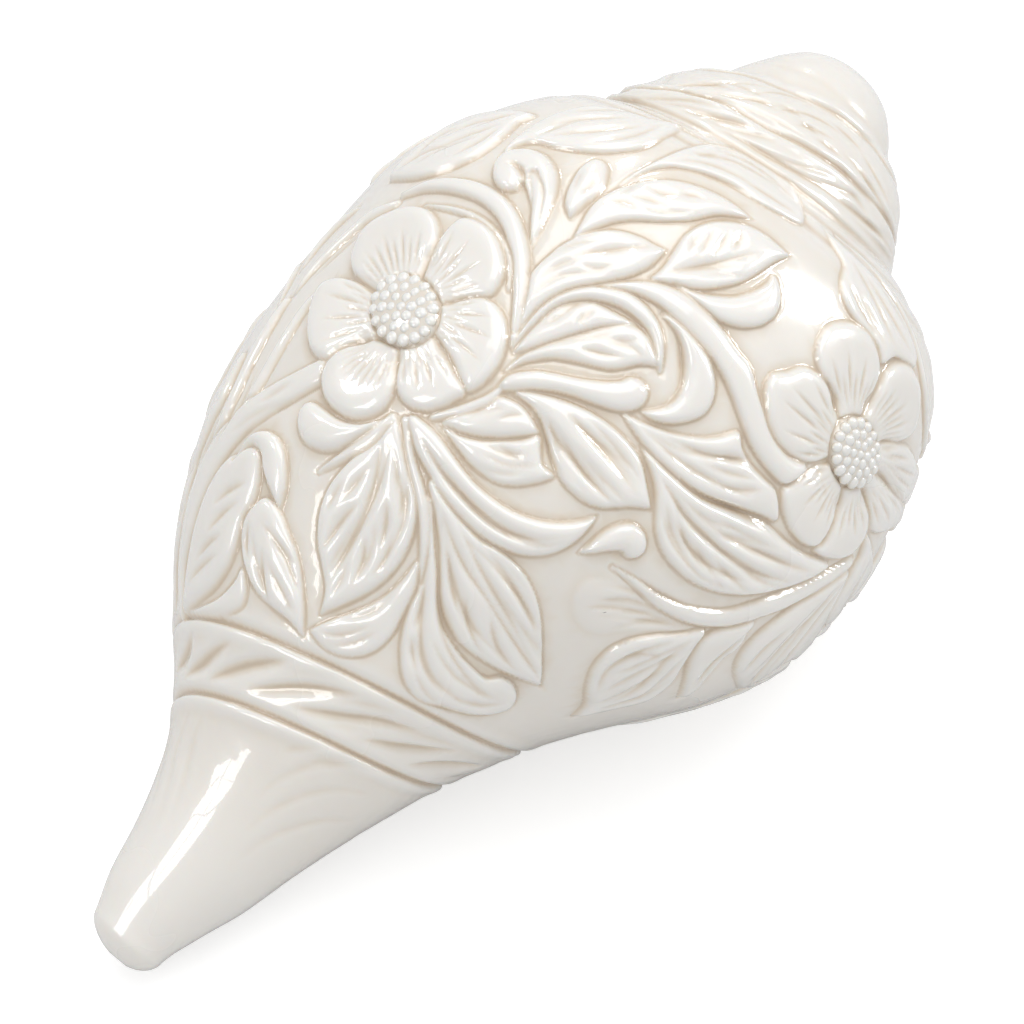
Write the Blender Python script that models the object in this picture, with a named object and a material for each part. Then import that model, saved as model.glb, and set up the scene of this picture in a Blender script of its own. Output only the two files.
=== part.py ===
"""A shankha: the heavy shell of a sacred chank, lying on its mouth, with flowers and leaves cut in its wall.

The shell is one solid. Its bare form is a radius about its axis, which runs from the tip of the canal to the
apex. The radius grows with the turn, so each whorl laps over the one before it along a suture. The carving is
a relief on that form, and the mouth and its chamber are cut out of the underside.

Lengths are in millimetres and angles in degrees until the mesh is made, in metres.
"""

import bmesh
import bpy
import numpy as np
from mathutils import Vector

MM = 0.001

# The shell's main sizes.
LENGTH = 149.6
AXIS_TILT = 17.0
AXIS_START = (-71.6, 1.3, 5.6)
TIP_ROUNDING = 3.0
APEX_ROUNDING = 5.5
UNDERSIDE_FLATTENING = 0.2

# Half-widths along the axis, from the canal's tip to the suture, on the two sides of the slanted view.
VIEW_ROLL = -20.0
RIGHT_SUTURE = 133.5
RIGHT_SIDE = [(0, 4.2), (3.4, 4.5), (8.7, 6.1), (15, 8.4), (22, 10.2), (30, 12.6), (38, 15.4), (44, 17.7),
              (50, 20.8), (54, 22.8), (60, 26.6), (64, 29.5), (69, 33.4), (74, 36.9), (81, 40.2), (88, 42.1),
              (98, 42.6), (105, 41.6), (112, 39.8), (118, 38.0), (123, 35.9), (128, 31.4), (130, 28.6),
              (132, 24.4), (133.5, 21.2)]
LEFT_SUTURE = 127.9
LEFT_SIDE = [(0, 5.4), (3.4, 6.4), (8.7, 8.2), (15, 9.5), (22, 11.5), (26, 13.1), (30.4, 15.7), (34, 18.4),
             (38, 21.7), (44, 26.3), (49.4, 30.1), (54, 32.6), (60, 35.3), (64, 36.7), (69, 37.7), (74, 38.6),
             (81, 39.1), (88, 39.3), (95.5, 39.2), (100.5, 39.0), (104.7, 38.4), (108.4, 37.3), (112, 35.8),
             (115, 34.2), (118, 32.5), (120.5, 30.8), (123, 28.6), (125.3, 25.9), (127.9, 21.2)]
BACK_SHARE = 0.97

# The suture falls along the axis as the shell turns; the spire's whorls swell below it.
SUTURE_AT_RIGHT = 131.5
SUTURE_FALL = 6.4
SUTURE_STEEPENING = 0.35
SUTURE_RADII = [(-900, 0.0), (-630, 5.0), (-450, 11.4), (-270, 13.9), (-90, 21.2), (90, 21.2), (200, 21.2)]
SPIRE_SWELL = [(0, 0), (2.35, 3.0), (4.75, 5.1), (7.15, 6.4), (10.1, 8.3), (13, 9.6)]
DOME = [(125, 18), (137.5, 13.6), (141.8, 11.3), (144.2, 9.7), (146.3, 8.7), (149.6, 8.2)]
LIP_EDGE = 168.0
LIP_END = 190.0
LIP_FALL = 14.0

# Two helical grooves set off the band round the canal: place along the axis where the slanted view meets it
# head-on, and fall for each degree of turn.
UPPER_GROOVE = (45.3, 0.092)
LOWER_GROOVE = (36.7, 0.078)
GROOVE_DEPTH = 0.9
GROOVE_HALF_WIDTH = 1.1
SUTURE_GROOVE_DEPTH = 0.5
SUTURE_GROOVE_HALF_WIDTH = 0.8
GOUGE_DEPTH = 0.8

# Carved leaves and petals: the groove cut round each outline, the rib down a leaf, and the flutes of a petal.
BORDER_DEPTH = 0.35
BORDER_HALF_WIDTH = 0.6
RIB_DEPTH = 0.4
RIB_HALF_WIDTH = 0.7
EDGE_SOFTNESS = 0.5
FLUTE_DEPTH = 0.12
BOSS_RISE = 0.9

# The relief fades in over this much of the canal, and fades out near the apex.
CALM_CANAL = (12, 30)
CALM_APEX = (2, 8)

# The carving is laid out in a slanted view of the back, 1024 squares wide.
VIEW_AZIMUTH = -48.4
VIEW_ELEVATION = 58.8
VIEW_DISTANCE = 700.0
VIEW_SQUARES = 1024
SQUARES_PER_MM = 7.76
VIEW_TARGET = (1.9, -0.4, 26.8)

# The mouth: place along the axis, middle, half-width, and the height of its roof over the axis.
MOUTH = [(8, 1.6, 0.9, -3.4), (14, 2.0, 1.5, -3.4), (24, 2.6, 2.2, -3.0), (36, 4.4, 3.6, -2.6),
         (50, 7.6, 5.6, -5), (64, 10.6, 7.6, -8), (80, 12.6, 8.6, -11), (94, 13.8, 8.0, -14),
         (105, 14.6, 5.8, -18), (113, 15.2, 2.4, -24)]
MOUTH_REACH = 60.0
WALL = 4.6
COLUMELLA = 9.5
CHAMBER_TURNS = (163, 38)
CHAMBER_STARTS = (42, 66)
CHAMBER_ENDS = (111, 114)
CHAMBER_NARROWING = 0.9

# The mesh: rings along the shell, crowded towards both ends, points in a ring, and faces kept of it.
ROWS = 400
ROW_CROWDING = 0.85
COLUMNS = 440
FACE_BUDGET = 8200
MOUTH_RINGS = 26
CHAMBER_RINGS = 16
CHAMBER_STEP = 20
FLOOR_HALF_WIDTH = 100.0
FLOOR_DEPTH = 30.0
IVORY = (0.83, 0.79, 0.72, 1.0)


def curve(points):
    """A smooth function through the points that never overshoots them."""
    x, y = np.array(points, float).T
    step = np.diff(x)
    slope = np.diff(y) / step
    tangent = np.zeros_like(y)
    tangent[0], tangent[-1] = slope[0], slope[-1]
    for i in range(1, len(x) - 1):
        if slope[i - 1] * slope[i] > 0:
            before, after = 2 * step[i] + step[i - 1], step[i] + 2 * step[i - 1]
            tangent[i] = (before + after) / (before / slope[i - 1] + after / slope[i])

    def value(at):
        i = np.clip(np.searchsorted(x, at) - 1, 0, len(step) - 1)
        t = np.clip((at - x[i]) / step[i], 0, 1)
        ends = (1 + 2 * t) * (1 - t) ** 2 * y[i] + t * t * (3 - 2 * t) * y[i + 1]
        return ends + step[i] * (t * (1 - t) ** 2 * tangent[i] - t * t * (1 - t) * tangent[i + 1])

    return value


def ease(start, end, x):
    t = np.clip((x - start) / (end - start), 0, 1)
    return t * t * (3 - 2 * t)


right_side, left_side, spire_swell, dome = map(curve, (RIGHT_SIDE, LEFT_SIDE, SPIRE_SWELL, DOME))


def suture(turned):
    """Place along the axis of the suture, at an angle that counts whole turns back from the lip."""
    halves = (turned + 90 - VIEW_ROLL) / 180
    return SUTURE_AT_RIGHT - SUTURE_FALL * halves - SUTURE_STEEPENING * halves**2


def body_whorl(turned, s):
    share = s / suture(turned)
    right = right_side(share * RIGHT_SUTURE)
    left = left_side(share * LEFT_SUTURE)
    back = BACK_SHARE * (right + left) / 2
    quarter = np.clip(turned - VIEW_ROLL, -180, 180) / 90
    radius = np.zeros_like(share)
    for place, width in ((-2, right), (-1, right), (0, back), (1, left), (2, left)):
        nearness = np.clip(1 - np.abs(quarter - place), 0, 1)
        radius += np.sin(nearness * np.pi / 2) ** 2 * width
    underneath = np.clip(-np.cos(np.radians(turned)), 0, 1) ** 3
    return radius * (1 - UNDERSIDE_FLATTENING * underneath * ease(20, 70, s))


def whorl(turned, s):
    """Radius of the wall laid down at one angle of growth, falling away above its suture."""
    depth = suture(turned) - s
    rim = np.interp(turned - VIEW_ROLL, *np.array(SUTURE_RADII, float).T)
    strip = rim + spire_swell(np.clip(depth, 0, 13)) - 2.5 * np.clip(depth - 12.5, 0, None)
    body = body_whorl(turned, np.minimum(s, suture(turned)))
    radius = strip + (body - strip) * ease(-240, -180, turned)
    return np.where(depth > 0, radius, radius + 2.5 * depth)


def bare_radius(angle, s):
    """Radius of the uncarved shell; the angle runs from the back (0) to the lip's side (90)."""
    lip_fall = LIP_FALL * ease(LIP_EDGE, LIP_END, angle)
    radius = np.maximum(whorl(angle, s) - lip_fall, whorl(angle - 360, s))
    radius = np.maximum(radius, whorl(angle - 720, s))
    radius = np.maximum(radius, np.where(s > 126, dome(s), 0))
    tip = np.clip(s / TIP_ROUNDING, 0, 1)
    apex = np.clip((LENGTH - s) / APEX_ROUNDING, 0, 1)
    return radius * np.sqrt(1 - (1 - tip) ** 2) * np.sqrt(1 - (1 - apex) ** 2)


tilt = np.radians(AXIS_TILT)
ALONG = np.array([np.cos(tilt), 0, np.sin(tilt)])
ACROSS = np.array([0, 1.0, 0])
UP = np.array([-np.sin(tilt), 0, np.cos(tilt)])
START = np.array(AXIS_START)


def place(angle, s, radius):
    turn = np.radians(angle)[..., None]
    out = np.sin(turn) * ACROSS + np.cos(turn) * UP
    return START + s[..., None] * ALONG + radius[..., None] * out


def on_shell(angle, s):
    return place(angle, s, bare_radius(angle, s))


def from_view(squares):
    """Angle and place along the axis where sight lines through points of the slanted view meet the shell."""
    azimuth, elevation = np.radians(VIEW_AZIMUTH), np.radians(VIEW_ELEVATION)
    back = np.array([np.sin(azimuth) * np.cos(elevation), -np.cos(azimuth) * np.cos(elevation),
                     np.sin(elevation)])
    right = np.array([np.cos(azimuth), np.sin(azimuth), 0])
    up = np.cross(back, right)
    offset = np.array(squares, float) - VIEW_SQUARES / 2
    ray = -SQUARES_PER_MM * VIEW_DISTANCE * back + offset[:, :1] * right - offset[:, 1:] * up
    ray /= np.linalg.norm(ray, axis=1)[:, None]
    eye = np.array(VIEW_TARGET) + VIEW_DISTANCE * back - START

    def polar(distance):
        point = eye + distance[..., None] * ray[:, None]
        return np.degrees(np.arctan2(point @ ACROSS, point @ UP)), point @ ALONG, point

    def clearance(distance):
        angle, s, point = polar(distance)
        from_axis = np.hypot(point @ ACROSS, point @ UP)
        inside = (s > 0) & (s < LENGTH)
        return from_axis - np.where(inside, bare_radius(angle, np.clip(s, 0, LENGTH)), -1)

    steps = np.linspace(VIEW_DISTANCE - 80, VIEW_DISTANCE + 60, 281)
    gaps = clearance(np.broadcast_to(steps, (len(ray), len(steps))))
    first = np.where((gaps < 0).any(1), (gaps < 0).argmax(1), gaps.argmin(1))
    near, far = steps[np.maximum(first - 1, 0)], steps[first]
    for _ in range(24):
        middle = (near + far) / 2
        inside = clearance(middle[:, None])[:, 0] < 0
        near, far = np.where(inside, near, middle), np.where(inside, middle, far)
    angle, s, _ = polar(far[:, None])
    return angle[:, 0], s[:, 0]


def through(points, count=28):
    """A smooth run of points through the given ones."""
    knots = np.array(points, float)
    knots = np.vstack([2 * knots[0] - knots[1], knots, 2 * knots[-1] - knots[-2]])
    at = np.linspace(0, len(points) - 1, count)
    i = np.minimum(at.astype(int), len(points) - 2)
    t = (at - i)[:, None]
    a, b, c, d = (knots[i + k] for k in range(4))
    return 0.5 * (2 * b + (c - a) * t + (2 * a - 5 * b + 4 * c - d) * t**2 + (3 * b - a - 3 * c + d) * t**3)


class Relief:
    """Heights over the bare form, on the grid of its points; each cut lies over the ones before it."""

    def __init__(self, angle, s):
        self.angle, self.s = angle, s
        self.bare = on_shell(angle, s)
        self.height = np.zeros_like(s)

    def groove(self, distance, half_width, depth):
        self.height -= depth * np.exp(-((distance / half_width) ** 2))

    def along(self, spine, reach):
        """The grid points within reach of a spine: place along it (0 to 1), distance, and side (1 or -1)."""
        points = on_shell(spine[:, 0], spine[:, 1])
        middle = (points.max(0) + points.min(0)) / 2
        near = np.linalg.norm(self.bare - middle, axis=-1) < np.ptp(points, axis=0).max() * 0.9 + reach
        grid = self.bare[near]
        best = np.full(len(grid), np.inf)
        at, side = np.zeros(len(grid)), np.ones(len(grid))
        lengths = np.linalg.norm(np.diff(points, axis=0), axis=1)
        run = np.concatenate([[0], np.cumsum(lengths)]) / lengths.sum()
        for i, (start, end) in enumerate(zip(points, points[1:])):
            edge = end - start
            t = np.clip((grid - start) @ edge / (edge @ edge), 0, 1)
            offset = grid - start - t[:, None] * edge
            distance = np.linalg.norm(offset, axis=1)
            closer = distance < best
            outward = (start + end) / 2 - (START + spine[i, 1] * ALONG)
            turn = offset @ np.cross(outward, edge)
            best = np.where(closer, distance, best)
            at = np.where(closer, run[i] + t * (run[i + 1] - run[i]), at)
            side = np.where(closer, np.sign(turn), side)
        return near, at, best, side

    def raise_blade(self, spine, widths, top, lean=0.0, rib=0.0):
        """A leaf, scroll or stem: half-widths at its foot, middle and end."""
        foot, middle, end = widths
        near, at, distance, side = self.along(spine, max(widths) + 2)
        bow = 2 * middle - (foot + end) / 2
        half = (1 - at) ** 2 * foot + 2 * at * (1 - at) * bow + at**2 * end
        across = distance / np.maximum(half, 0.01)
        body = np.clip(1 - across**2, 0, 1) ** 0.5 + lean * across * side
        body -= rib * np.exp(-((distance / RIB_HALF_WIDTH) ** 2)) * (at < 0.9)
        blunt = half > 0.3
        over = ease(half + EDGE_SOFTNESS, half - EDGE_SOFTNESS, distance) * blunt
        height = self.height[near]
        height = height * (1 - over) + top * body * over
        beyond = distance - half - EDGE_SOFTNESS
        height -= BORDER_DEPTH * np.exp(-((beyond / BORDER_HALF_WIDTH) ** 2)) * blunt
        self.height[near] = height

    def raise_ball(self, centre, radius, top):
        point = on_shell(*centre[:, None])[0]
        distance = np.linalg.norm(self.bare - point, axis=-1)
        over = ease(radius + EDGE_SOFTNESS, radius - EDGE_SOFTNESS, distance)
        ball = top * np.sqrt(np.clip(1 - (distance / (radius + EDGE_SOFTNESS)) ** 2, 0, 1))
        self.height = self.height * (1 - over) + ball * over

    def raise_flower(self, centre, tips, notches, disc, top):
        """Petals out to their tips, parted at the notches, round a domed disc."""
        middle = on_shell(*centre[:, None])[0]
        outward = middle - (START + centre[1] * ALONG)
        outward /= np.linalg.norm(outward)
        east = np.cross(outward, ALONG)
        east /= np.linalg.norm(east)
        north = np.cross(outward, east)

        def polar(points):
            offset = points - middle
            x, y = offset @ east, offset @ north
            return np.arctan2(y, x), np.hypot(x, y)

        rim = sorted((*polar(on_shell(*p[:, None])[0]), kind) for kind, group in ((1, tips), (0, notches))
                     for p in group)
        turns = np.array([r[0] for r in rim])
        radii = np.minimum([r[1] for r in rim], FLOWER_REACH)
        kinds = np.array([r[2] for r in rim])
        turns = np.concatenate([turns - 2 * np.pi, turns, turns + 2 * np.pi])
        radii, kinds = np.tile(radii, 3), np.tile(kinds, 3)
        near = np.linalg.norm(self.bare - middle, axis=-1) < radii.max() + 2
        turn, distance = polar(self.bare[near])
        i = np.searchsorted(turns, turn) - 1
        t = (turn - turns[i]) / (turns[i + 1] - turns[i])
        from_tip = np.where(kinds[i] == 1, t, 1 - t)
        tip, notch = (np.where(kinds[i] == k, radii[i], radii[i + 1]) for k in (1, 0))
        reach = notch + (tip - notch) * np.sqrt(np.clip(1 - from_tip**2.2, 0, 1))
        out = distance / reach
        petal = top * (0.45 + 0.55 * out) * (1 - 0.75 * from_tip**6)
        petal += FLUTE_DEPTH * np.cos(from_tip * 3 * np.pi) * (1 - out) * (distance > disc)
        over = ease(reach + EDGE_SOFTNESS, reach - EDGE_SOFTNESS, distance)
        height = self.height[near] * (1 - over) + petal * over
        beyond = distance - reach - EDGE_SOFTNESS
        height -= BORDER_DEPTH * np.exp(-((beyond / BORDER_HALF_WIDTH) ** 2))
        boss = ease(disc + EDGE_SOFTNESS, disc - EDGE_SOFTNESS, distance)
        round_top = 0.8 * top + BOSS_RISE * np.sqrt(np.clip(1 - (distance / disc) ** 2, 0, 1))
        self.height[near] = height * (1 - boss) + round_top * boss


def helix(groove, angle):
    """Place along the axis of a groove, which winds back under the shell to the mouth."""
    in_view, fall = groove
    turned = np.where(angle > LIP_EDGE, angle - 360, angle)
    return in_view - fall * (turned - VIEW_ROLL)


# The cut leaves, scrolls and stems: points of the middle line in squares of the slanted view, half-widths at
# the foot, middle and end, height, and how far one side stands over the other.
LEAF, SCROLL, STEM = 1.5, 1.5, 1.1
BACK_CARVING = [
    ([(183, 612), (180, 540), (194, 465)], (0.8, 2.6, 0), LEAF, 0.2),
    ([(215, 425), (240, 360), (278, 305)], (0.8, 2.4, 0), LEAF, 0.2),
    ([(250, 402), (275, 350), (308, 298)], (0.8, 2.6, 0), LEAF, 0.2),
    ([(288, 300), (322, 252), (368, 208)], (0.8, 2.6, 0), LEAF, 0.2),
    ([(332, 282), (352, 238), (392, 200)], (0.8, 2.4, 0), LEAF, 0.2),
    ([(392, 185), (440, 142), (533, 118)], (0.8, 3.2, 0), LEAF, 0.2),
    ([(504, 156), (580, 122), (677, 130)], (1.0, 4.2, 0), LEAF, 0.2),
    ([(611, 182), (700, 186), (802, 225)], (1.0, 3.0, 0), LEAF, 0.2),
    ([(568, 218), (580, 188), (603, 162)], (1.0, 2.4, 0), LEAF, 0.2),
    ([(566, 228), (645, 196), (751, 218)], (1.0, 3.6, 0), LEAF, 0.3),
    ([(525, 284), (590, 250), (668, 250)], (1.0, 3.4, 0), LEAF, 0.3),
    ([(656, 276), (718, 244), (788, 256)], (1.0, 4.6, 0), LEAF, 0.3),
    ([(828, 250), (866, 288), (888, 345)], (1.0, 4.2, 0), LEAF, 0.2),
    ([(390, 425), (362, 500), (340, 560), (318, 615)], (1.0, 6.2, 0), LEAF, 0.2),
    ([(425, 465), (455, 540), (500, 612), (540, 684)], (1.0, 6.0, 0), LEAF, 0.2),
    ([(262, 512), (286, 570), (304, 637)], (1.0, 4.4, 0), LEAF, 0.2),
    ([(252, 455), (214, 530), (187, 612)], (1.0, 3.8, 0), LEAF, 0.2),
    ([(415, 585), (388, 638), (350, 655), (305, 636)], (0.6, 2.8, 0), LEAF, 0.2),
    ([(431, 420), (482, 412), (532, 420)], (0.8, 2.6, 0), LEAF, 0.2),
    ([(436, 432), (496, 462), (553, 478)], (0.8, 3.6, 0), LEAF, 0.2),
    ([(528, 402), (588, 442), (650, 509)], (1.0, 5.4, 0), LEAF, 0.3),
    ([(622, 414), (680, 420), (738, 432)], (0.8, 2.8, 0), LEAF, 0.2),
    ([(650, 440), (712, 482), (780, 530)], (0.8, 3.6, 0), LEAF, 0.2),
    ([(657, 476), (728, 546), (825, 567)], (0.8, 5.4, 0), LEAF, 0.3),
    ([(505, 369), (580, 338), (654, 367)], (0.8, 4.2, 0), LEAF, 0.2),
    ([(640, 596), (604, 592), (568, 606)], (0.8, 2.6, 0), 1.0, 0.2),
    ([(700, 628), (640, 658), (572, 712)], (0.8, 4.0, 0), 1.2, 0.2),
    ([(757, 617), (726, 650), (685, 694)], (0.8, 3.4, 0), 1.2, 0.2),
    ([(800, 600), (776, 640), (740, 684)], (0.8, 3.2, 0), 1.2, 0.2),
    ([(848, 566), (830, 606), (802, 645)], (0.8, 3.0, 0), 1.2, 0.2),
    ([(617, 568), (655, 596), (693, 616), (745, 610), (800, 596), (845, 560)], (0.8, 1.2, 0.8), STEM, 0),
    ([(234, 463), (252, 440), (272, 436), (286, 460), (284, 505)], (0.6, 1.0, 0.6), STEM, 0),
    ([(420, 480), (425, 560), (405, 640), (420, 690), (460, 708), (500, 690)], (0.6, 1.2, 1.4), STEM, 0),
    ([(500, 389), (570, 385), (633, 389)], (0.8, 1.4, 1.8), STEM, 0),
    ([(405, 417), (438, 473), (471, 512), (515, 540), (553, 545), (598, 516)], (1.0, 2.4, 0.8), SCROLL, 0.2),
    ([(392, 415), (359, 438), (326, 443), (305, 425), (312, 408)], (0.8, 2.0, 2.0), SCROLL, 0),
    ([(579, 556), (605, 562), (634, 545)], (0.6, 1.6, 2.0), SCROLL, 0),
    ([(525, 292), (534, 240), (524, 200), (502, 188), (510, 172), (522, 178)], (1.0, 1.4, 1.2), SCROLL, 0),
    ([(668, 317), (702, 336), (712, 371), (699, 404), (673, 420), (642, 410)], (0.6, 2.4, 1.6), SCROLL, 0.2),
    ([(679, 292), (717, 320), (745, 325), (770, 315), (779, 292)], (0.6, 1.8, 2.4), SCROLL, 0),
    ([(508, 343), (551, 296), (584, 282), (622, 282), (663, 290), (704, 315), (735, 353), (750, 397),
      (760, 437), (788, 474), (808, 480)], (1.4, 1.5, 1.0), STEM, 0),
]

# Round ends of stems and scrolls: middle in the slanted view, radius and height.
BALLS = [((500, 688), 1.7, 1.5), ((633, 389), 2.0, 1.7), ((634, 544), 1.8, 1.7), ((518, 176), 1.8, 1.5),
         ((677, 368), 1.5, 1.3), ((281, 509), 1.3, 1.2)]

# The same for the underside, as angle and place along the axis.
UNDERSIDE_CARVING = [
    ([(78, 47), (90, 58), (96, 74)], (0.8, 3.4, 0), LEAF, 0.2),
    ([(104, 44), (116, 56), (122, 70)], (0.8, 3.4, 0), LEAF, 0.2),
    ([(84, 100), (100, 108), (120, 112)], (0.8, 3.4, 0), LEAF, 0.2),
    ([(128, 72), (138, 84), (140, 100)], (0.8, 3.0, 0), 1.2, 0.2),
    ([(70, 112), (88, 118), (108, 119)], (0.8, 2.4, 0), LEAF, 0.2),
    ([(-118, 62), (-128, 72), (-132, 86)], (0.8, 3.8, 0), LEAF, 0.2),
    ([(-122, 112), (-134, 106), (-140, 94)], (0.8, 3.6, 0), LEAF, 0.2),
    ([(-150, 60), (-158, 72), (-156, 86)], (0.8, 3.8, 0), 1.2, 0.2),
    ([(-142, 118), (-160, 112), (-168, 100)], (0.8, 3.8, 0), 1.2, 0.2),
    ([(-172, 112), (-186, 104), (-190, 94)], (0.8, 3.0, 0), 1.0, 0.2),
    ([(-115, 98), (-128, 96), (-146, 92), (-164, 92)], (0.8, 1.2, 0.8), STEM, 0),
]

FLOWER_RISE = 1.9
SIDE_FLOWER_RISE = 1.4
FLOWER_REACH = 14.5
FLOWER = ((407, 314), [(397, 213), (489, 239), (507, 333), (430, 410), (344, 415), (311, 323)],
          [(441, 234), (494, 299), (466, 392), (395, 397), (339, 356), (357, 280)], 4.6)
SIDE_FLOWER = ((851, 450), [(773, 374), (847, 323), (912, 366), (908, 500), (840, 558), (787, 505)],
               [(812, 385), (884, 372), (905, 440), (873, 532), (812, 535), (797, 440)], 4.0)
LIP_FLOWER = (108, 86)
LIP_FLOWER_RADIUS = 11.0

# The lens-shaped gouges in the band round the canal: from end to end in squares of the slanted view.
GOUGES = [((184, 668), (196, 640)), ((196, 674), (238, 648)), ((206, 680), (285, 664)),
          ((246, 692), (358, 688)), ((294, 712), (418, 724)), ((364, 742), (460, 750)),
          ((412, 768), (486, 766))]
GOUGE_HALF_WIDTH = 1.5


def ring(centre, radius, phase, count=6):
    """Places round a flower's middle, as angle and place along the axis."""
    turn = phase + np.arange(count) * 2 * np.pi / count
    girth = bare_radius(*np.array(centre, float)[:, None])[0]
    angle = centre[0] + np.degrees(radius * np.cos(turn) / girth)
    return np.stack([angle, centre[1] + radius * np.sin(turn)], -1)


def carve(relief):
    angle, s = relief.angle, relief.s
    for groove in (UPPER_GROOVE, LOWER_GROOVE):
        relief.groove(s - helix(groove, angle), GROOVE_HALF_WIDTH, GROOVE_DEPTH)
    relief.groove(s - suture(angle), SUTURE_GROOVE_HALF_WIDTH, SUTURE_GROOVE_DEPTH * ease(165, 150, angle))
    relief.groove(s - suture(angle - 360), SUTURE_GROOVE_HALF_WIDTH, SUTURE_GROOVE_DEPTH)
    for ends in GOUGES:
        spine = np.stack(from_view(through(ends, 10)), -1)
        near, at, distance, _ = relief.along(spine, 2 * GOUGE_HALF_WIDTH)
        half = GOUGE_HALF_WIDTH * np.sin(np.pi * np.clip(at, 0, 1)) + 0.3
        relief.height[near] -= GOUGE_DEPTH * np.exp(-((distance / half) ** 2))
    for points, widths, top, lean in BACK_CARVING:
        rib = RIB_DEPTH if top == LEAF else 0
        relief.raise_blade(np.stack(from_view(through(points)), -1), widths, top, lean, rib)
    for middle, radius, top in BALLS:
        relief.raise_ball(np.stack(from_view([middle]), -1)[0], radius, top)
    for points, widths, top, lean in UNDERSIDE_CARVING:
        relief.raise_blade(through(points), widths, top, lean, RIB_DEPTH)
    for (centre, tips, notches, disc), rise in ((FLOWER, FLOWER_RISE), (SIDE_FLOWER, SIDE_FLOWER_RISE)):
        centre, tips, notches = (np.stack(from_view(np.atleast_2d(p)), -1) for p in (centre, tips, notches))
        relief.raise_flower(centre[0], tips, notches, disc, rise)
    centre = np.array(LIP_FLOWER, float)
    relief.raise_flower(centre, ring(centre, LIP_FLOWER_RADIUS, 0.2), ring(centre, 8.6, 0.2 + np.pi / 6), 4.2,
                        FLOWER_RISE)


def remove_scene_objects():
    for thing in list(bpy.data.objects):
        bpy.data.objects.remove(thing, do_unlink=True)


def add_object(name, mesh):
    thing = bpy.data.objects.new(name, mesh)
    bpy.context.scene.collection.objects.link(thing)
    return thing


def closed_tube(name, rings):
    """A closed mesh through rings of equal point count, with a fan over each end; points are in metres."""
    body = bmesh.new()
    rows = [[body.verts.new(Vector(p)) for p in points] for points in rings]
    for row, after in zip(rows, rows[1:]):
        for i in range(len(row)):
            j = (i + 1) % len(row)
            body.faces.new((row[i], row[j], after[j], after[i]))
    for row in (rows[0], rows[-1]):
        middle = body.verts.new(sum((v.co for v in row), Vector()) / len(row))
        for i in range(len(row)):
            body.faces.new((row[i], row[(i + 1) % len(row)], middle))
    bmesh.ops.recalc_face_normals(body, faces=body.faces)
    mesh = bpy.data.meshes.new(name)
    body.to_mesh(mesh)
    body.free()
    return mesh


def shell_mesh():
    """The carved outside, as rings from the tip to the apex."""
    even = np.linspace(0, 1, ROWS + 1)[1:-1]
    s = LENGTH * (even - ROW_CROWDING * np.sin(2 * np.pi * even) / (2 * np.pi))
    s_grid, angle = np.meshgrid(s, np.linspace(-180, 180, COLUMNS, endpoint=False), indexing="ij")
    relief = Relief(angle, s_grid)
    carve(relief)
    calm = ease(*CALM_CANAL, s_grid) * ease(*CALM_APEX, LENGTH - s_grid)
    return place(angle, s_grid, bare_radius(angle, s_grid) + relief.height * calm)


def mouth_rings():
    """The slot between lip and columella: an arch-roofed trench that opens downwards."""
    table = np.array(MOUTH, float)
    middle, half, roof = (curve(table[:, (0, k)]) for k in (1, 2, 3))
    arch = np.radians(np.linspace(0, 180, 9))
    rings = []
    for s in np.linspace(table[0, 0], table[-1, 0], MOUTH_RINGS):
        across = np.concatenate([half(s) * np.cos(arch), [-half(s), half(s)]])
        height = np.concatenate([half(s) * (np.sin(arch) - 1), [-MOUTH_REACH, -MOUTH_REACH]])
        height[:9] += roof(s)
        rings.append(START + s * ALONG + (middle(s) + across)[:, None] * ACROSS + height[:, None] * UP)
    return np.array(rings)


def chamber_rings():
    """The whorl's hollow, from behind the lip up towards the back, narrowing inwards."""
    loop = np.radians(np.arange(0, 360, CHAMBER_STEP))
    rings = []
    for inward in np.linspace(0, 1, CHAMBER_RINGS):
        angle = CHAMBER_TURNS[0] + (CHAMBER_TURNS[1] - CHAMBER_TURNS[0]) * inward
        start, end = (low + (high - low) * inward for low, high in (CHAMBER_STARTS, CHAMBER_ENDS))
        s = (start + end) / 2 + (end - start) / 2 * np.cos(loop)
        outer = bare_radius(np.full_like(s, angle), s) - WALL
        middle, half = (outer + COLUMELLA) / 2, (outer - COLUMELLA) / 2
        narrowing = np.sqrt(1 - CHAMBER_NARROWING * inward**2)
        rings.append(place(np.full_like(s, angle), s, middle + half * np.sin(loop) * narrowing))
    return np.array(rings)


def floor_rings():
    """A slab under the ground plane, which leaves the flat spots that the shell rests on."""
    corners = np.array([(-1, -1), (1, -1), (1, 1), (-1, 1)]) * FLOOR_HALF_WIDTH
    return np.array([np.column_stack([corners, np.full(4, level)]) for level in (-FLOOR_DEPTH, 0.0)])


def ivory():
    material = bpy.data.materials.new("carved_shell")
    material.use_nodes = True
    shader = material.node_tree.nodes["Principled BSDF"]
    shader.inputs["Base Color"].default_value = IVORY
    shader.inputs["Roughness"].default_value = 0.18
    shader.inputs["Metallic"].default_value = 0.0
    return material


remove_scene_objects()
shell = add_object("conch_shell", closed_tube("conch_shell", shell_mesh() * MM))
shell.data.materials.append(ivory())
thinning = shell.modifiers.new("faces", "DECIMATE")
thinning.ratio = FACE_BUDGET / (2 * ROWS * COLUMNS)
for name, rings in (("mouth", mouth_rings()), ("chamber", chamber_rings()), ("ground", floor_rings())):
    cutter = add_object(name, closed_tube(name, rings * MM))
    cutter.hide_render = True
    cutter.display_type = "WIRE"
    cut = shell.modifiers.new(name, "BOOLEAN")
    cut.operation = "DIFFERENCE"
    cut.object = cutter
shell.data.shade_smooth()
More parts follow.
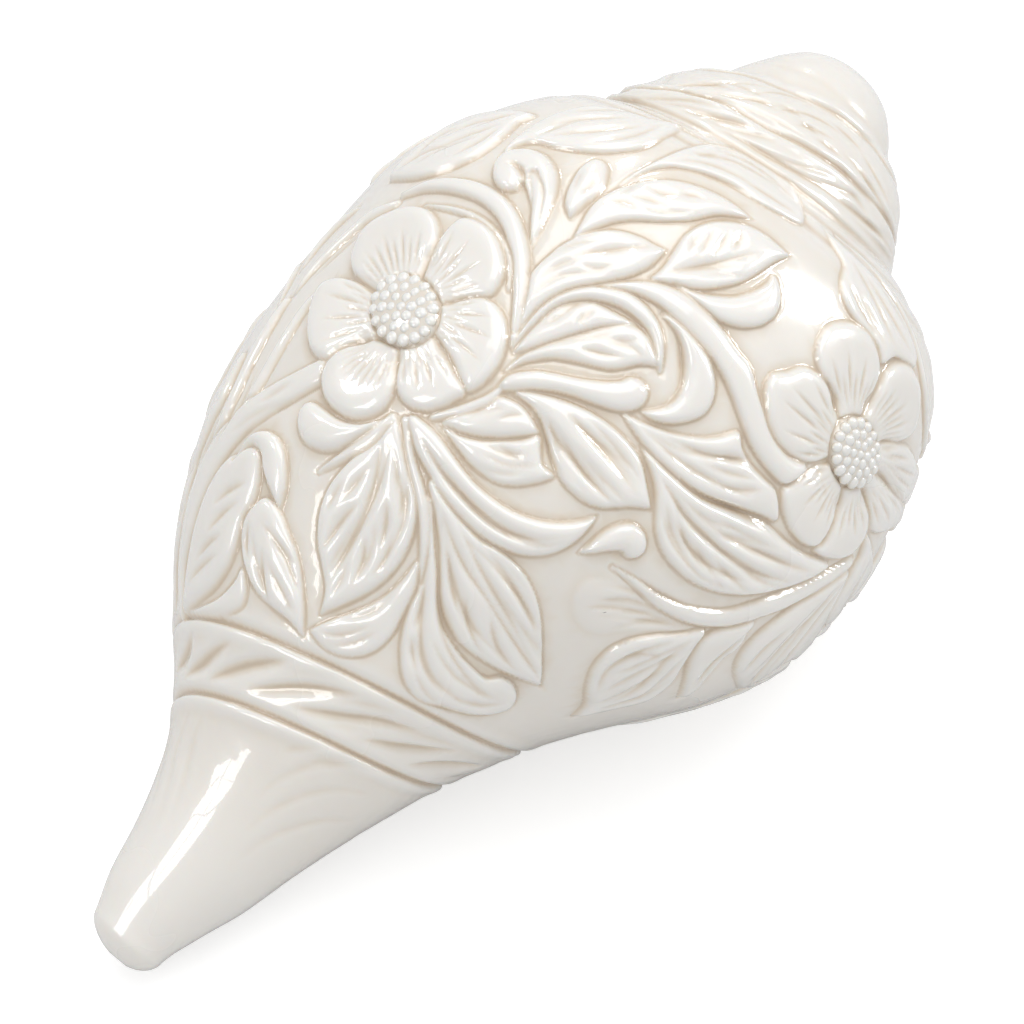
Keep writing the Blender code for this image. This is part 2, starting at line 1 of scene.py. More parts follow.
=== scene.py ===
"""The finished shankha, dressed over its frame: a heavy white chank shell, carved all over and glossy.

Lengths are in millimetres and angles in degrees until a mesh is made, in metres.
"""

import bmesh
import bpy
import numpy as np
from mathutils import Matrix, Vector


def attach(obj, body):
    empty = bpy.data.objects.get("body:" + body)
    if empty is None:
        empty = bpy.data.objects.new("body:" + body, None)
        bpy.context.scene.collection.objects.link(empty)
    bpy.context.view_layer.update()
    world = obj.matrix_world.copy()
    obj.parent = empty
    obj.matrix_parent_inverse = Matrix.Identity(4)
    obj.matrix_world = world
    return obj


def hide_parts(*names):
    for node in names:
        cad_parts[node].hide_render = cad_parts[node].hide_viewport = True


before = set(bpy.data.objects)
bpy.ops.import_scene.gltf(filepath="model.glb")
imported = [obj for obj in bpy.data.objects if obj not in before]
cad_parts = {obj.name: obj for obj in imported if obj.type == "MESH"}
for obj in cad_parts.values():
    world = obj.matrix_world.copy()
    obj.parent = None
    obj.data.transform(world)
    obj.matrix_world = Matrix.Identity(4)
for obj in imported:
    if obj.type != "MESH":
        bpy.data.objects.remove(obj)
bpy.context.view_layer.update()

# The bare whorls. A chank grows as one thick spiral wall, so the radius about the axis, from the canal's
# tip to the apex, is the greatest of the turns that lap over each other. The sizes are those of the
# frame's solid.
MM = 0.001
LENGTH = 149.6
AXIS_TILT = np.radians(17.0)
AXIS_START = np.array((-71.6, 1.3, 5.6))
TIP_ROUNDING = 3.0
APEX_ROUNDING = 5.5
UNDERSIDE_FLATTENING = 0.2
VIEW_ROLL = -20.0
RIGHT_SUTURE = 133.5
RIGHT_SIDE = [(0, 4.2), (3.4, 4.5), (8.7, 6.1), (15, 8.4), (22, 10.2), (30, 12.6), (38, 15.4), (44, 17.7),
              (50, 20.8), (54, 22.8), (60, 26.6), (64, 29.5), (69, 33.4), (74, 36.9), (81, 40.2), (88, 42.1),
              (98, 42.6), (105, 41.6), (112, 39.8), (118, 38.0), (123, 35.9), (128, 31.4), (130, 28.6),
              (132, 24.4), (133.5, 21.2)]
LEFT_SUTURE = 127.9
LEFT_SIDE = [(0, 5.4), (3.4, 6.4), (8.7, 8.2), (15, 9.5), (22, 11.5), (26, 13.1), (30.4, 15.7), (34, 18.4),
             (38, 21.7), (44, 26.3), (49.4, 30.1), (54, 32.6), (60, 35.3), (64, 36.7), (69, 37.7), (74, 38.6),
             (81, 39.1), (88, 39.3), (95.5, 39.2), (100.5, 39.0), (104.7, 38.4), (108.4, 37.3), (112, 35.8),
             (115, 34.2), (118, 32.5), (120.5, 30.8), (123, 28.6), (125.3, 25.9), (127.9, 21.2)]
BACK_SHARE = 0.97
SUTURE_AT_RIGHT = 131.5
SUTURE_FALL = 6.4
SUTURE_STEEPENING = 0.35
SUTURE_RADII = [(-900, 0.0), (-630, 5.0), (-450, 11.4), (-270, 13.9), (-90, 21.2), (90, 21.2), (200, 21.2)]
SPIRE_SWELL = [(0, 0), (2.35, 3.0), (4.75, 5.1), (7.15, 6.4), (10.1, 8.3), (13, 9.6)]
DOME = [(125, 18), (137.5, 13.6), (141.8, 11.3), (144.2, 9.7), (146.3, 8.7), (149.6, 8.2)]
WHORL_FALL = 2.5
STRIP_DEPTH = 12.5
DOME_START = 126
LIP_EDGE = 168.0
LIP_END = 190.0
LIP_FALL = 14.0
ALONG = np.array([np.cos(AXIS_TILT), 0, np.sin(AXIS_TILT)])
ACROSS = np.array([0, 1.0, 0])
UP = np.array([-np.sin(AXIS_TILT), 0, np.cos(AXIS_TILT)])


def curve(points):
    """A smooth function through the points that never overshoots them."""
    x, y = np.array(points, float).T
    step = np.diff(x)
    slope = np.diff(y) / step
    tangent = np.zeros_like(y)
    tangent[0], tangent[-1] = slope[0], slope[-1]
    for i in range(1, len(x) - 1):
        if slope[i - 1] * slope[i] > 0:
            before, after = 2 * step[i] + step[i - 1], step[i] + 2 * step[i - 1]
            tangent[i] = (before + after) / (before / slope[i - 1] + after / slope[i])

    def value(at):
        i = np.clip(np.searchsorted(x, at) - 1, 0, len(step) - 1)
        t = np.clip((at - x[i]) / step[i], 0, 1)
        ends = (1 + 2 * t) * (1 - t) ** 2 * y[i] + t * t * (3 - 2 * t) * y[i + 1]
        return ends + step[i] * (t * (1 - t) ** 2 * tangent[i] - t * t * (1 - t) * tangent[i + 1])

    return value


def ease(start, end, x):
    """A smooth step from 0 at the start to 1 at the end."""
    t = np.clip((x - start) / (end - start), 0, 1)
    return t * t * (3 - 2 * t)


def bump(x, half_width):
    """A soft bell of height 1."""
    return np.exp(-((x / half_width) ** 2))


right_side, left_side, spire_swell, dome = map(curve, (RIGHT_SIDE, LEFT_SIDE, SPIRE_SWELL, DOME))


def suture(turned):
    """Place along the axis where a turn meets the turn before it; it falls as the angle grows."""
    halves = (turned + 90 - VIEW_ROLL) / 180
    return SUTURE_AT_RIGHT - SUTURE_FALL * halves - SUTURE_STEEPENING * halves**2


def body_whorl(turned, s):
    """Radius of the last and widest turn, blended between its right, left and back profiles."""
    share = s / suture(turned)
    right = right_side(share * RIGHT_SUTURE)
    left = left_side(share * LEFT_SUTURE)
    back = BACK_SHARE * (right + left) / 2
    quarter = np.clip(turned - VIEW_ROLL, -180, 180) / 90
    radius = np.zeros_like(share)
    for side, width in ((-2, right), (-1, right), (0, back), (1, left), (2, left)):
        nearness = np.clip(1 - np.abs(quarter - side), 0, 1)
        radius += np.sin(nearness * np.pi / 2) ** 2 * width
    underneath = np.clip(-np.cos(np.radians(turned)), 0, 1) ** 3
    return radius * (1 - UNDERSIDE_FLATTENING * underneath * ease(20, 70, s))


def whorl(turned, s):
    """Radius of the spiral wall at any turn: the body whorl, and the spire's narrow strips before it."""
    depth = suture(turned) - s
    rim = np.interp(turned - VIEW_ROLL, *np.array(SUTURE_RADII, float).T)
    swell = spire_swell(np.clip(depth, 0, SPIRE_SWELL[-1][0]))
    strip = rim + swell - WHORL_FALL * np.clip(depth - STRIP_DEPTH, 0, None)
    body = body_whorl(turned, np.minimum(s, suture(turned)))
    radius = strip + (body - strip) * ease(-240, -180, turned)
    return np.where(depth > 0, radius, radius + WHORL_FALL * depth)


def bare_radius(angle, s):
    """Radius of the uncarved shell; the angle runs from the back (0) to the lip's side (90)."""
    lip_fall = LIP_FALL * ease(LIP_EDGE, LIP_END, angle)
    radius = np.maximum(whorl(angle, s) - lip_fall, whorl(angle - 360, s))
    radius = np.maximum(radius, whorl(angle - 720, s))
    radius = np.maximum(radius, np.where(s > DOME_START, dome(s), 0))
    tip = np.clip(s / TIP_ROUNDING, 0, 1)
    apex = np.clip((LENGTH - s) / APEX_ROUNDING, 0, 1)
    return radius * np.sqrt(1 - (1 - tip) ** 2) * np.sqrt(1 - (1 - apex) ** 2)


def place(angle, s, radius):
    """The point at this angle, place along the axis and radius."""
    turn = np.radians(angle)[..., None]
    out = np.sin(turn) * ACROSS + np.cos(turn) * UP
    return AXIS_START + s[..., None] * ALONG + radius[..., None] * out


# The blank for the carver: points of the bare wall, closer together on the back, which is seen, than
# underneath. The carver's cuts are kept as a rise over each point, and as how deep the polish pools
# there.
FINENESS = 1.0
ROWS = int(800 * FINENESS)
ROW_CROWDING = 0.3
SEEN_FROM, SEEN_TO = -128.0, 88.0
SEEN_COLUMNS = int(640 * FINENESS)
HIDDEN_COLUMNS = int(380 * FINENESS)
even = np.linspace(0, 1, ROWS + 1)[1:-1]
row_places = LENGTH * (even - ROW_CROWDING * np.sin(2 * np.pi * even) / (2 * np.pi))
seen = np.linspace(SEEN_FROM, SEEN_TO, SEEN_COLUMNS, endpoint=False)
hidden = np.linspace(SEEN_TO, SEEN_FROM + 360, HIDDEN_COLUMNS, endpoint=False)
all_round = np.concatenate([seen, hidden])
column_angles = np.sort(np.where(all_round > 180, all_round - 360, all_round))
s_grid, angle_grid = np.meshgrid(row_places, column_angles, indexing="ij")
bare_grid = bare_radius(angle_grid, s_grid)
wall = place(angle_grid, s_grid, bare_grid)
rise = np.zeros_like(s_grid)
score = np.zeros_like(s_grid)


# The drawing of the carving, as it is set out on the back: squares of a slanted view, 1024 wide, are
# carried along sight lines on to the wall, as a carver pounces a drawing through.
VIEW_AZIMUTH = np.radians(-48.4)
VIEW_ELEVATION = np.radians(58.8)
VIEW_DISTANCE = 700.0
VIEW_SQUARES = 1024
SQUARES_PER_MM = 7.76
VIEW_TARGET = np.array((1.9, -0.4, 26.8))
SIGHT_START, SIGHT_END, SIGHT_STEPS = 620.0, 760.0, 281
VIEW_BACK = np.array([np.sin(VIEW_AZIMUTH) * np.cos(VIEW_ELEVATION),
                      -np.cos(VIEW_AZIMUTH) * np.cos(VIEW_ELEVATION), np.sin(VIEW_ELEVATION)])
VIEW_RIGHT = np.array([np.cos(VIEW_AZIMUTH), np.sin(VIEW_AZIMUTH), 0])
VIEW_UP = np.cross(VIEW_BACK, VIEW_RIGHT)
VIEW_EYE = VIEW_TARGET + VIEW_DISTANCE * VIEW_BACK


def pounce(squares):
    """Angle and place along the axis where sight lines through points of the drawing meet the shell."""
    offset = np.array(squares, float) - VIEW_SQUARES / 2
    ray = -SQUARES_PER_MM * VIEW_DISTANCE * VIEW_BACK + offset[:, :1] * VIEW_RIGHT - offset[:, 1:] * VIEW_UP
    ray /= np.linalg.norm(ray, axis=1)[:, None]

    def polar(distance):
        point = VIEW_EYE - AXIS_START + distance[..., None] * ray[:, None]
        return np.degrees(np.arctan2(point @ ACROSS, point @ UP)), point @ ALONG, point

    def clearance(distance):
        angle, s, point = polar(distance)
        from_axis = np.hypot(point @ ACROSS, point @ UP)
        inside = (s > 0) & (s < LENGTH)
        return from_axis - np.where(inside, bare_radius(angle, np.clip(s, 0, LENGTH)), -1)

    steps = np.linspace(SIGHT_START, SIGHT_END, SIGHT_STEPS)
    gaps = clearance(np.broadcast_to(steps, (len(ray), len(steps))))
    first = np.where((gaps < 0).any(1), (gaps < 0).argmax(1), gaps.argmin(1))
    near, far = steps[np.maximum(first - 1, 0)], steps[first]
    for _ in range(20):
        middle = (near + far) / 2
        inside = clearance(middle[:, None])[:, 0] < 0
        near, far = np.where(inside, near, middle), np.where(inside, middle, far)
    angle, s, _ = polar(far[:, None])
    return np.stack([angle[:, 0], s[:, 0]], -1)


def through(points, count=36):
    """A smooth run of points through the given ones."""
    knots = np.array(points, float)
    knots = np.vstack([2 * knots[0] - knots[1], knots, 2 * knots[-1] - knots[-2]])
    at = np.linspace(0, len(points) - 1, count)
    i = np.minimum(at.astype(int), len(points) - 2)
    t = (at - i)[:, None]
    a, b, c, d = (knots[i + k] for k in range(4))
    return 0.5 * (2 * b + (c - a) * t + (2 * a - 5 * b + 4 * c - d) * t**2 + (3 * b - a - 3 * c + d) * t**3)


def on_wall(spots):
    """Points of the bare wall at spots of angle and place along the axis."""
    return place(spots[:, 0], spots[:, 1], bare_radius(spots[:, 0], spots[:, 1]))


class Stroke:
    """The part of the wall beside a line cut along it: place along the line, distance from it, and side."""

    def __init__(self, spots, reach):
        line = on_wall(spots)
        middle = (line.max(0) + line.min(0)) / 2
        radius = np.linalg.norm(line - middle, axis=1).max() + reach
        first, last = np.searchsorted(row_places, (spots[:, 1].min() - reach, spots[:, 1].max() + reach))
        self.near = np.zeros(wall.shape[:2], bool)
        self.near[first:last] = np.linalg.norm(wall[first:last] - middle, axis=-1) < radius
        grid = wall[self.near]
        lengths = np.linalg.norm(np.diff(line, axis=0), axis=1)
        run = np.concatenate([[0], np.cumsum(lengths)])
        self.distance = np.full(len(grid), np.inf)
        self.along, self.side = np.zeros(len(grid)), np.ones(len(grid))
        for i, (start, end) in enumerate(zip(line, line[1:])):
            edge = end - start
            t = np.clip((grid - start) @ edge / (edge @ edge), 0, 1)
            offset = grid - start - t[:, None] * edge
            distance = np.linalg.norm(offset, axis=1)
            closer = distance < self.distance
            outward = (start + end) / 2 - (AXIS_START + spots[i, 1] * ALONG)
            self.distance = np.where(closer, distance, self.distance)
            self.along = np.where(closer, run[i] + t * lengths[i], self.along)
            self.side = np.where(closer, np.sign(offset @ np.cross(outward, edge)), self.side)
        self.at = self.along / run[-1]


def drawn(points, count=24):
    """Spots on the wall under a line of the drawing."""
    return pounce(through(np.array(points, float).reshape(-1, 2), count))


def drawn_ring(points):
    """Spots on the wall under a closed outline of the drawing, with a corner at its first point."""
    spots = np.reshape(points, (-1, 2))
    return drawn(np.vstack([spots, spots[:1]]), 5 * len(spots) + 1)[:-1]


EDGE = 0.36
FOOT = 0.25
FULL_WIDTH = 2.0
OUTLINE_DEPTH = 0.26
OUTLINE_HALF_WIDTH = 0.2
FULL_HEIGHT_WIDTH = 1.3
HEIGHT_POWER = 0.6


def lay_form(ring, top, full_width=FULL_WIDTH, hub=None, foot=FOOT, outline=OUTLINE_DEPTH):
    """Raise a rounded form inside an outline, in place of what is there, and score a fine line round it."""
    edge = Stroke(np.vstack([ring, ring[:1]]), 2.0)
    near, s = edge.near, s_grid[edge.near]
    turned = (angle_grid[near] - ring[0, 0] + 180) % 360 - 180
    corners = np.stack([(ring[:, 0] - ring[0, 0] + 180) % 360 - 180, ring[:, 1]], -1)
    inside = np.zeros(len(s), bool)
    for (a, low), (b, high) in zip(corners, np.roll(corners, -1, 0)):
        if low != high:
            inside ^= ((low > s) != (high > s)) & (turned < (b - a) * (s - low) / (high - low) + a)
    depth = np.where(inside, edge.distance, -edge.distance)
    width = min(full_width, depth.max())
    rounded = np.sqrt(1 - (1 - np.clip(depth / width, 0, 1)) ** 2)
    form = top * min(1, width / FULL_HEIGHT_WIDTH) ** HEIGHT_POWER * (foot + (1 - foot) * rounded)
    if hub is not None:
        middle, reach = hub
        out = np.clip(np.linalg.norm(wall[near] - middle, axis=-1) / reach, 0, 1)
        form = form * (0.3 + 0.7 * out**1.3)
    over = ease(-EDGE, EDGE, depth)
    rise[near] = rise[near] * (1 - over) + form * over
    kept = score[near] * ease(0.1, -0.2, depth)
    score[near] = np.maximum(kept, outline * bump(depth + 0.1, OUTLINE_HALF_WIDTH))
    return near, depth


def lay_strand(spots, widths, top):
    """A round-backed strand with its half-widths at even steps."""
    stroke = Stroke(spots, max(widths) + 1.5)
    half = curve(list(zip(np.linspace(0, 1, len(widths)), widths)))(stroke.at)
    u = np.clip(stroke.distance / np.maximum(half, 0.05), 0, 1)
    height = top * np.clip(half / FULL_HEIGHT_WIDTH, 0.2, 1) ** HEIGHT_POWER
    form = height * (FOOT + (1 - FOOT) * np.sqrt(1 - u**2))
    over = ease(half + EDGE, half - EDGE, stroke.distance) * (half > 0.1)
    rise[stroke.near] = rise[stroke.near] * (1 - over) + form * over
    kept = score[stroke.near] * (1 - ease(half + 0.2, half - 0.1, stroke.distance) * (half > 0.1))
    outline = OUTLINE_DEPTH * bump(stroke.distance - half - 0.1, OUTLINE_HALF_WIDTH) * (half > 0.1)
    score[stroke.near] = np.maximum(kept, outline)


def lay_cut(spots, half_width, depth, ramp=1.0):
    """A lens-shaped cut; with a ramp it is steep on its left and runs out gently on its right."""
    stroke = Stroke(spots, 2.5 * half_width * max(ramp, 1) + 0.5)
    lens = np.sin(np.pi * np.clip(stroke.at, 0, 1))
    half = half_width * (0.3 + 0.7 * lens) * np.where(stroke.side > 0, 1, ramp)
    score[stroke.near] += depth * lens**1.4 * bump(stroke.distance, half)


def lay_cuts(lines, count, *cuts):
    """The same cuts along each of several drawn lines; a cut is its half-width, its depth and any ramp."""
    for line in lines:
        spots = drawn(line, count)
        for cut in cuts:
            lay_cut(spots, *cut)


# The canal's band: two grooves wind round the canal below the body whorl, and between them the carver has
# made long lens-shaped gouges, steep on one side, that lie over each other like a feather's barbs.
UPPER_GROOVE = (45.3, 0.092)
LOWER_GROOVE = (36.7, 0.078)
GROOVE_HALF_WIDTH, GROOVE_DEPTH = 0.42, 0.75
BARB_CUT = (0.62, 0.9, 3.0)
GOUGE_CUT = (0.55, 0.85, 2.6)
FAINT_CUT = (0.4, 0.14, 2.4)
FLUTE_CUT = (0.8, 0.2)


def winding(groove, angle):
    """Place along the axis of a groove that winds round the canal."""
    in_view, fall = groove
    turned = np.where(angle > LIP_EDGE, angle - 360, angle)
    return in_view - fall * (turned - VIEW_ROLL)


for groove in (UPPER_GROOVE, LOWER_GROOVE):
    from_groove = s_grid - winding(groove, angle_grid)
    score += GROOVE_DEPTH * bump(from_groove, GROOVE_HALF_WIDTH)
    rise += 0.35 * bump(from_groove + 1.2, 0.9) + 0.15 * bump(from_groove - 1.2, 0.8)
GOUGES = [
    (176, 672, 180, 660, 187, 645, 194, 630), (183, 684, 189, 671, 201, 659, 214, 649, 234, 640),
    (202, 686, 218, 673, 240, 664, 268, 660, 298, 660), (238, 691, 262, 687, 290, 685, 320, 687, 366, 696),
    (286, 706, 320, 711, 350, 716, 380, 720, 428, 734), (358, 739, 380, 742, 400, 746, 425, 749, 460, 751),
    (404, 765, 430, 764, 455, 765, 484, 766),
]
lay_cuts(GOUGES, 18, GOUGE_CUT)
FAINT_GOUGES = [
    (252, 652, 280, 651, 312, 660), (300, 672, 340, 678, 380, 694), (330, 700, 372, 705, 410, 716),
    (312, 724, 350, 728, 386, 738), (392, 728, 430, 738, 462, 748), (440, 778, 462, 776, 486, 771),
]
lay_cuts(FAINT_GOUGES, 12, FAINT_CUT)
for turn in list(range(84, 168, 13)) + list(range(-176, -108, 12)):
    upper, lower = (float(winding(g, np.array(float(turn)))) for g in (UPPER_GROOVE, LOWER_GROOVE))
    barb = through([(turn - 9, lower + 1.5), (turn, (upper + lower) / 2), (turn + 14, upper - 1.2)], 12)
    lay_cut(barb, *BARB_CUT)
CANAL_FLUTES = [
    (250, 802, 285, 776, 330, 764, 404, 776), (236, 838, 280, 806, 330, 790, 380, 796),
    (280, 752, 306, 747, 340, 750), (214, 880, 262, 842, 316, 822, 360, 822),
    (306, 763, 330, 759, 364, 766), (192, 704, 176, 748, 162, 806, 140, 868),
    (178, 708, 164, 756, 150, 806, 124, 866), (206, 706, 192, 744, 180, 790, 160, 846),
]
lay_cuts(CANAL_FLUTES, 16, FLUTE_CUT)


# The shoulder and the spire: thin raised lines follow the suture; above them a smooth rim, a rope of
# slanting strands, a band of worn leaves, and the smooth dome of the first whorls.
SUTURE_LINES = [(-1.2, 0.55, 0.34), (-3.1, 0.6, 0.34), (-5.6, 0.9, 0.22)]
SUTURE_CUTS = [(-2.15, 0.4, 0.18), (-4.3, 0.4, 0.18), (0, 0.4, 0.35)]
ROPE_TOP = [(-180, 134.6), (-102, 134.6), (-76, 135.3), (-46, 135.0), (-23, 133.9), (-6, 132.5), (13, 131.9),
            (29, 130.4), (46, 128.2), (90, 126.4), (180, 123.6)]
LEAF_TOP = [(-180, 140.4), (-78, 141.0), (-57, 141.6), (-33, 141.4), (-13, 140.5), (9, 138.9), (29, 137.9),
            (40, 136.1), (90, 134.0), (180, 131.0)]
WEDGE_CUT = (0.45, 0.48, 2.6)
HIDDEN_WEDGE_CUT = (0.55, 0.7, 2.2)
ROPE_CUT = (0.3, 0.28, 2.0)
WORN_CUT = (0.55, 0.22, 2.2)
WORN_LINE = (0.28, 0.16)
STROKE_CUT = (0.42, 0.3, 1.6)
HIDDEN_STROKE_CUT = (0.5, 0.3, 1.6)
over_suture = s_grid - suture(angle_grid)
for offset, half_width, height in SUTURE_LINES:
    rise += height * bump(over_suture - offset, half_width)
for offset, half_width, depth in SUTURE_CUTS:
    score += depth * bump(over_suture - offset, half_width)
rope_line, dome_line = curve(ROPE_TOP), curve(LEAF_TOP)
rope_top, leaf_top = rope_line(angle_grid), dome_line(angle_grid)
score += 0.4 * bump(s_grid - rope_top, 0.3) * (angle_grid < 150)
rise += 0.3 * (bump(s_grid - rope_top - 0.8, 0.5) + bump(s_grid - rope_top + 0.8, 0.5)) * (angle_grid < 150)
score += 0.3 * bump(s_grid - leaf_top, 0.35) * (angle_grid < 150)
rise += 0.3 * bump(s_grid - leaf_top - 0.9, 0.6) * (angle_grid < 150)
WEDGES = [
    (616, 98, 650, 97, 690, 99, 722, 107, 750, 118), (640, 101, 680, 104, 722, 116, 754, 125, 780, 137),
    (664, 106, 702, 113, 736, 122, 774, 133), (694, 113, 724, 126, 754, 134, 794, 142),
    (724, 128, 756, 147, 790, 162, 836, 176), (774, 157, 802, 173, 832, 186, 868, 201),
    (814, 182, 846, 206, 870, 225, 890, 239), (848, 213, 873, 238, 889, 257, 898, 272),
    (704, 91, 742, 107, 782, 130, 820, 153, 850, 179), (842, 172, 866, 198, 886, 226),
]
lay_cuts(WEDGES, 20, WEDGE_CUT)
for turn in list(range(56, 150, 11)) + list(range(-172, -96, 11)):
    foot, head = suture(turn) + 1.8, float(rope_line(float(turn))) - 1.0
    strand = through([(turn - 9, foot), (turn, (foot + head) / 2), (turn + 9, head)], 12)
    lay_cut(strand, *HIDDEN_WEDGE_CUT)
ROPE_STRANDS = [
    (690, 118, 735, 136, 775, 158, 812, 180), (735, 138, 775, 160, 815, 183, 850, 208),
    (790, 168, 830, 190, 862, 214, 888, 242),
    (828, 192, 860, 215, 884, 240, 898, 264), (712, 100, 758, 112, 800, 134, 840, 162),
    (640, 95, 690, 94, 730, 101, 770, 114),
]
lay_cuts(ROPE_STRANDS, 20, ROPE_CUT)
WORN_LEAVES = [
    (628, 94, 666, 88, 704, 83, 744, 83, 786, 91), (650, 92, 692, 91, 732, 96, 768, 103, 802, 117),
    (744, 95, 774, 92, 802, 100, 832, 117), (764, 110, 796, 111, 826, 123, 852, 143),
    (786, 123, 812, 128, 838, 142), (838, 148, 858, 168, 878, 198, 892, 228),
    (858, 148, 876, 176, 890, 206), (826, 118, 848, 136, 866, 156),
]
lay_cuts(WORN_LEAVES, 16, WORN_CUT, WORN_LINE)
WORN_STROKES = [
    (724, 81, 746, 88, 768, 99), (740, 94, 760, 100, 780, 111), (768, 101, 788, 108, 808, 121),
    (812, 136, 828, 146, 844, 160), (826, 154, 842, 168, 855, 184), (858, 170, 874, 190, 887, 214),
    (790, 116, 806, 124, 822, 138), (846, 186, 862, 206, 874, 226), (690, 82, 716, 84, 742, 92),
]
lay_cuts(WORN_STROKES, 12, STROKE_CUT)
for turn in list(range(50, 150, 12)) + list(range(-170, -96, 12)):
    foot, head = float(rope_line(float(turn))) + 1.5, float(dome_line(float(turn))) - 1.0
    stroke = through([(turn - 12, foot), (turn, (foot + head) / 2), (turn + 12, head)], 12)
    lay_cut(stroke, *HIDDEN_STROKE_CUT)
lay_cut(drawn((756, 62, 812, 76, 862, 118, 884, 160), 24), 0.8, 0.14)


# The leaves and scrolls that cover the body, each cut to its outline in the order in which they lie over
# each other: the sprays along the edges first, then those that spread from the flowers.
EDGE_STRANDS = [
    ((176, 610, 177, 560, 184, 510, 194, 468, 206, 432),
     (0.5, 1.2, 1.6, 1.5, 0.8)),
    ((182, 520, 190, 485, 200, 448, 210, 420, 218, 404),
     (0.4, 0.9, 1.0, 1.0, 0.7)),
    ((190, 480, 200, 450, 212, 420, 224, 396, 236, 372, 243, 358),
     (0.4, 0.9, 1.1, 1.2, 1.2, 0.8)),
    ((204, 474, 216, 440, 228, 412, 240, 386, 252, 360, 264, 338, 276, 318, 287, 302),
     (0.4, 0.8, 1.0, 1.1, 1.2, 1.3, 1.2, 0.7)),
    ((300, 272, 318, 248, 338, 226, 358, 208),
     (0.2, 0.7, 0.8, 0.3)),
    ((278, 306, 289, 285, 299, 267, 308, 252),
     (0.2, 0.6, 0.6, 0.2)),
    ((294, 294, 312, 272, 330, 253, 350, 234, 372, 216, 398, 203),
     (0.2, 0.7, 0.9, 1.0, 1.0, 0.5)),
    ((222, 460, 238, 428, 250, 402, 262, 380, 275, 357, 288, 335, 300, 316, 313, 299, 331, 283),
     (0.2, 0.7, 0.8, 0.9, 0.95, 0.95, 0.9, 0.7, 0.3)),
    ((183, 614, 184, 560, 196, 500, 216, 456, 242, 422, 268, 402, 294, 387, 318, 374, 342, 362),
     (0.8, 1.4, 2.0, 2.4, 2.3, 2.1, 2.0, 1.8, 1.6)),
]
for points, widths in EDGE_STRANDS:
    lay_strand(drawn(points, 36), widths, 0.75)
EDGE_CUTS = [
    (258, 409, 276, 396, 298, 382), (232, 436, 262, 414, 300, 400), (246, 410, 268, 372, 292, 332),
    (212, 460, 236, 412, 262, 360), (308, 282, 336, 254, 372, 222), (196, 470, 214, 430, 236, 388),
]
lay_cuts(EDGE_CUTS, 16, (0.4, 0.3, 1.6))
EDGE_LEAVES = [
    (1.0, (390, 182, 398, 170, 420, 150, 450, 130, 482, 117, 512, 112, 536, 116, 520, 124, 505, 138, 488,
           151, 468, 163, 444, 173, 418, 180)),
    (1.0, (499, 157, 514, 142, 536, 126, 562, 114, 592, 108, 624, 111, 652, 120, 682, 127, 664, 139, 640,
           150, 602, 154, 562, 150, 536, 144, 516, 148)),
    (1.0, (610, 193, 630, 176, 655, 162, 680, 151, 704, 145, 726, 147, 750, 158, 774, 173, 796, 191, 803,
           224, 778, 214, 752, 199, 727, 184, 700, 173, 672, 168, 645, 172, 625, 183)),
    (1.0, (824, 230, 842, 244, 860, 262, 878, 281, 894, 303, 906, 326, 914, 352, 911, 368, 894, 357, 880,
           364, 874, 346, 862, 330, 850, 314, 842, 298, 840, 281, 842, 265, 834, 249)),
]
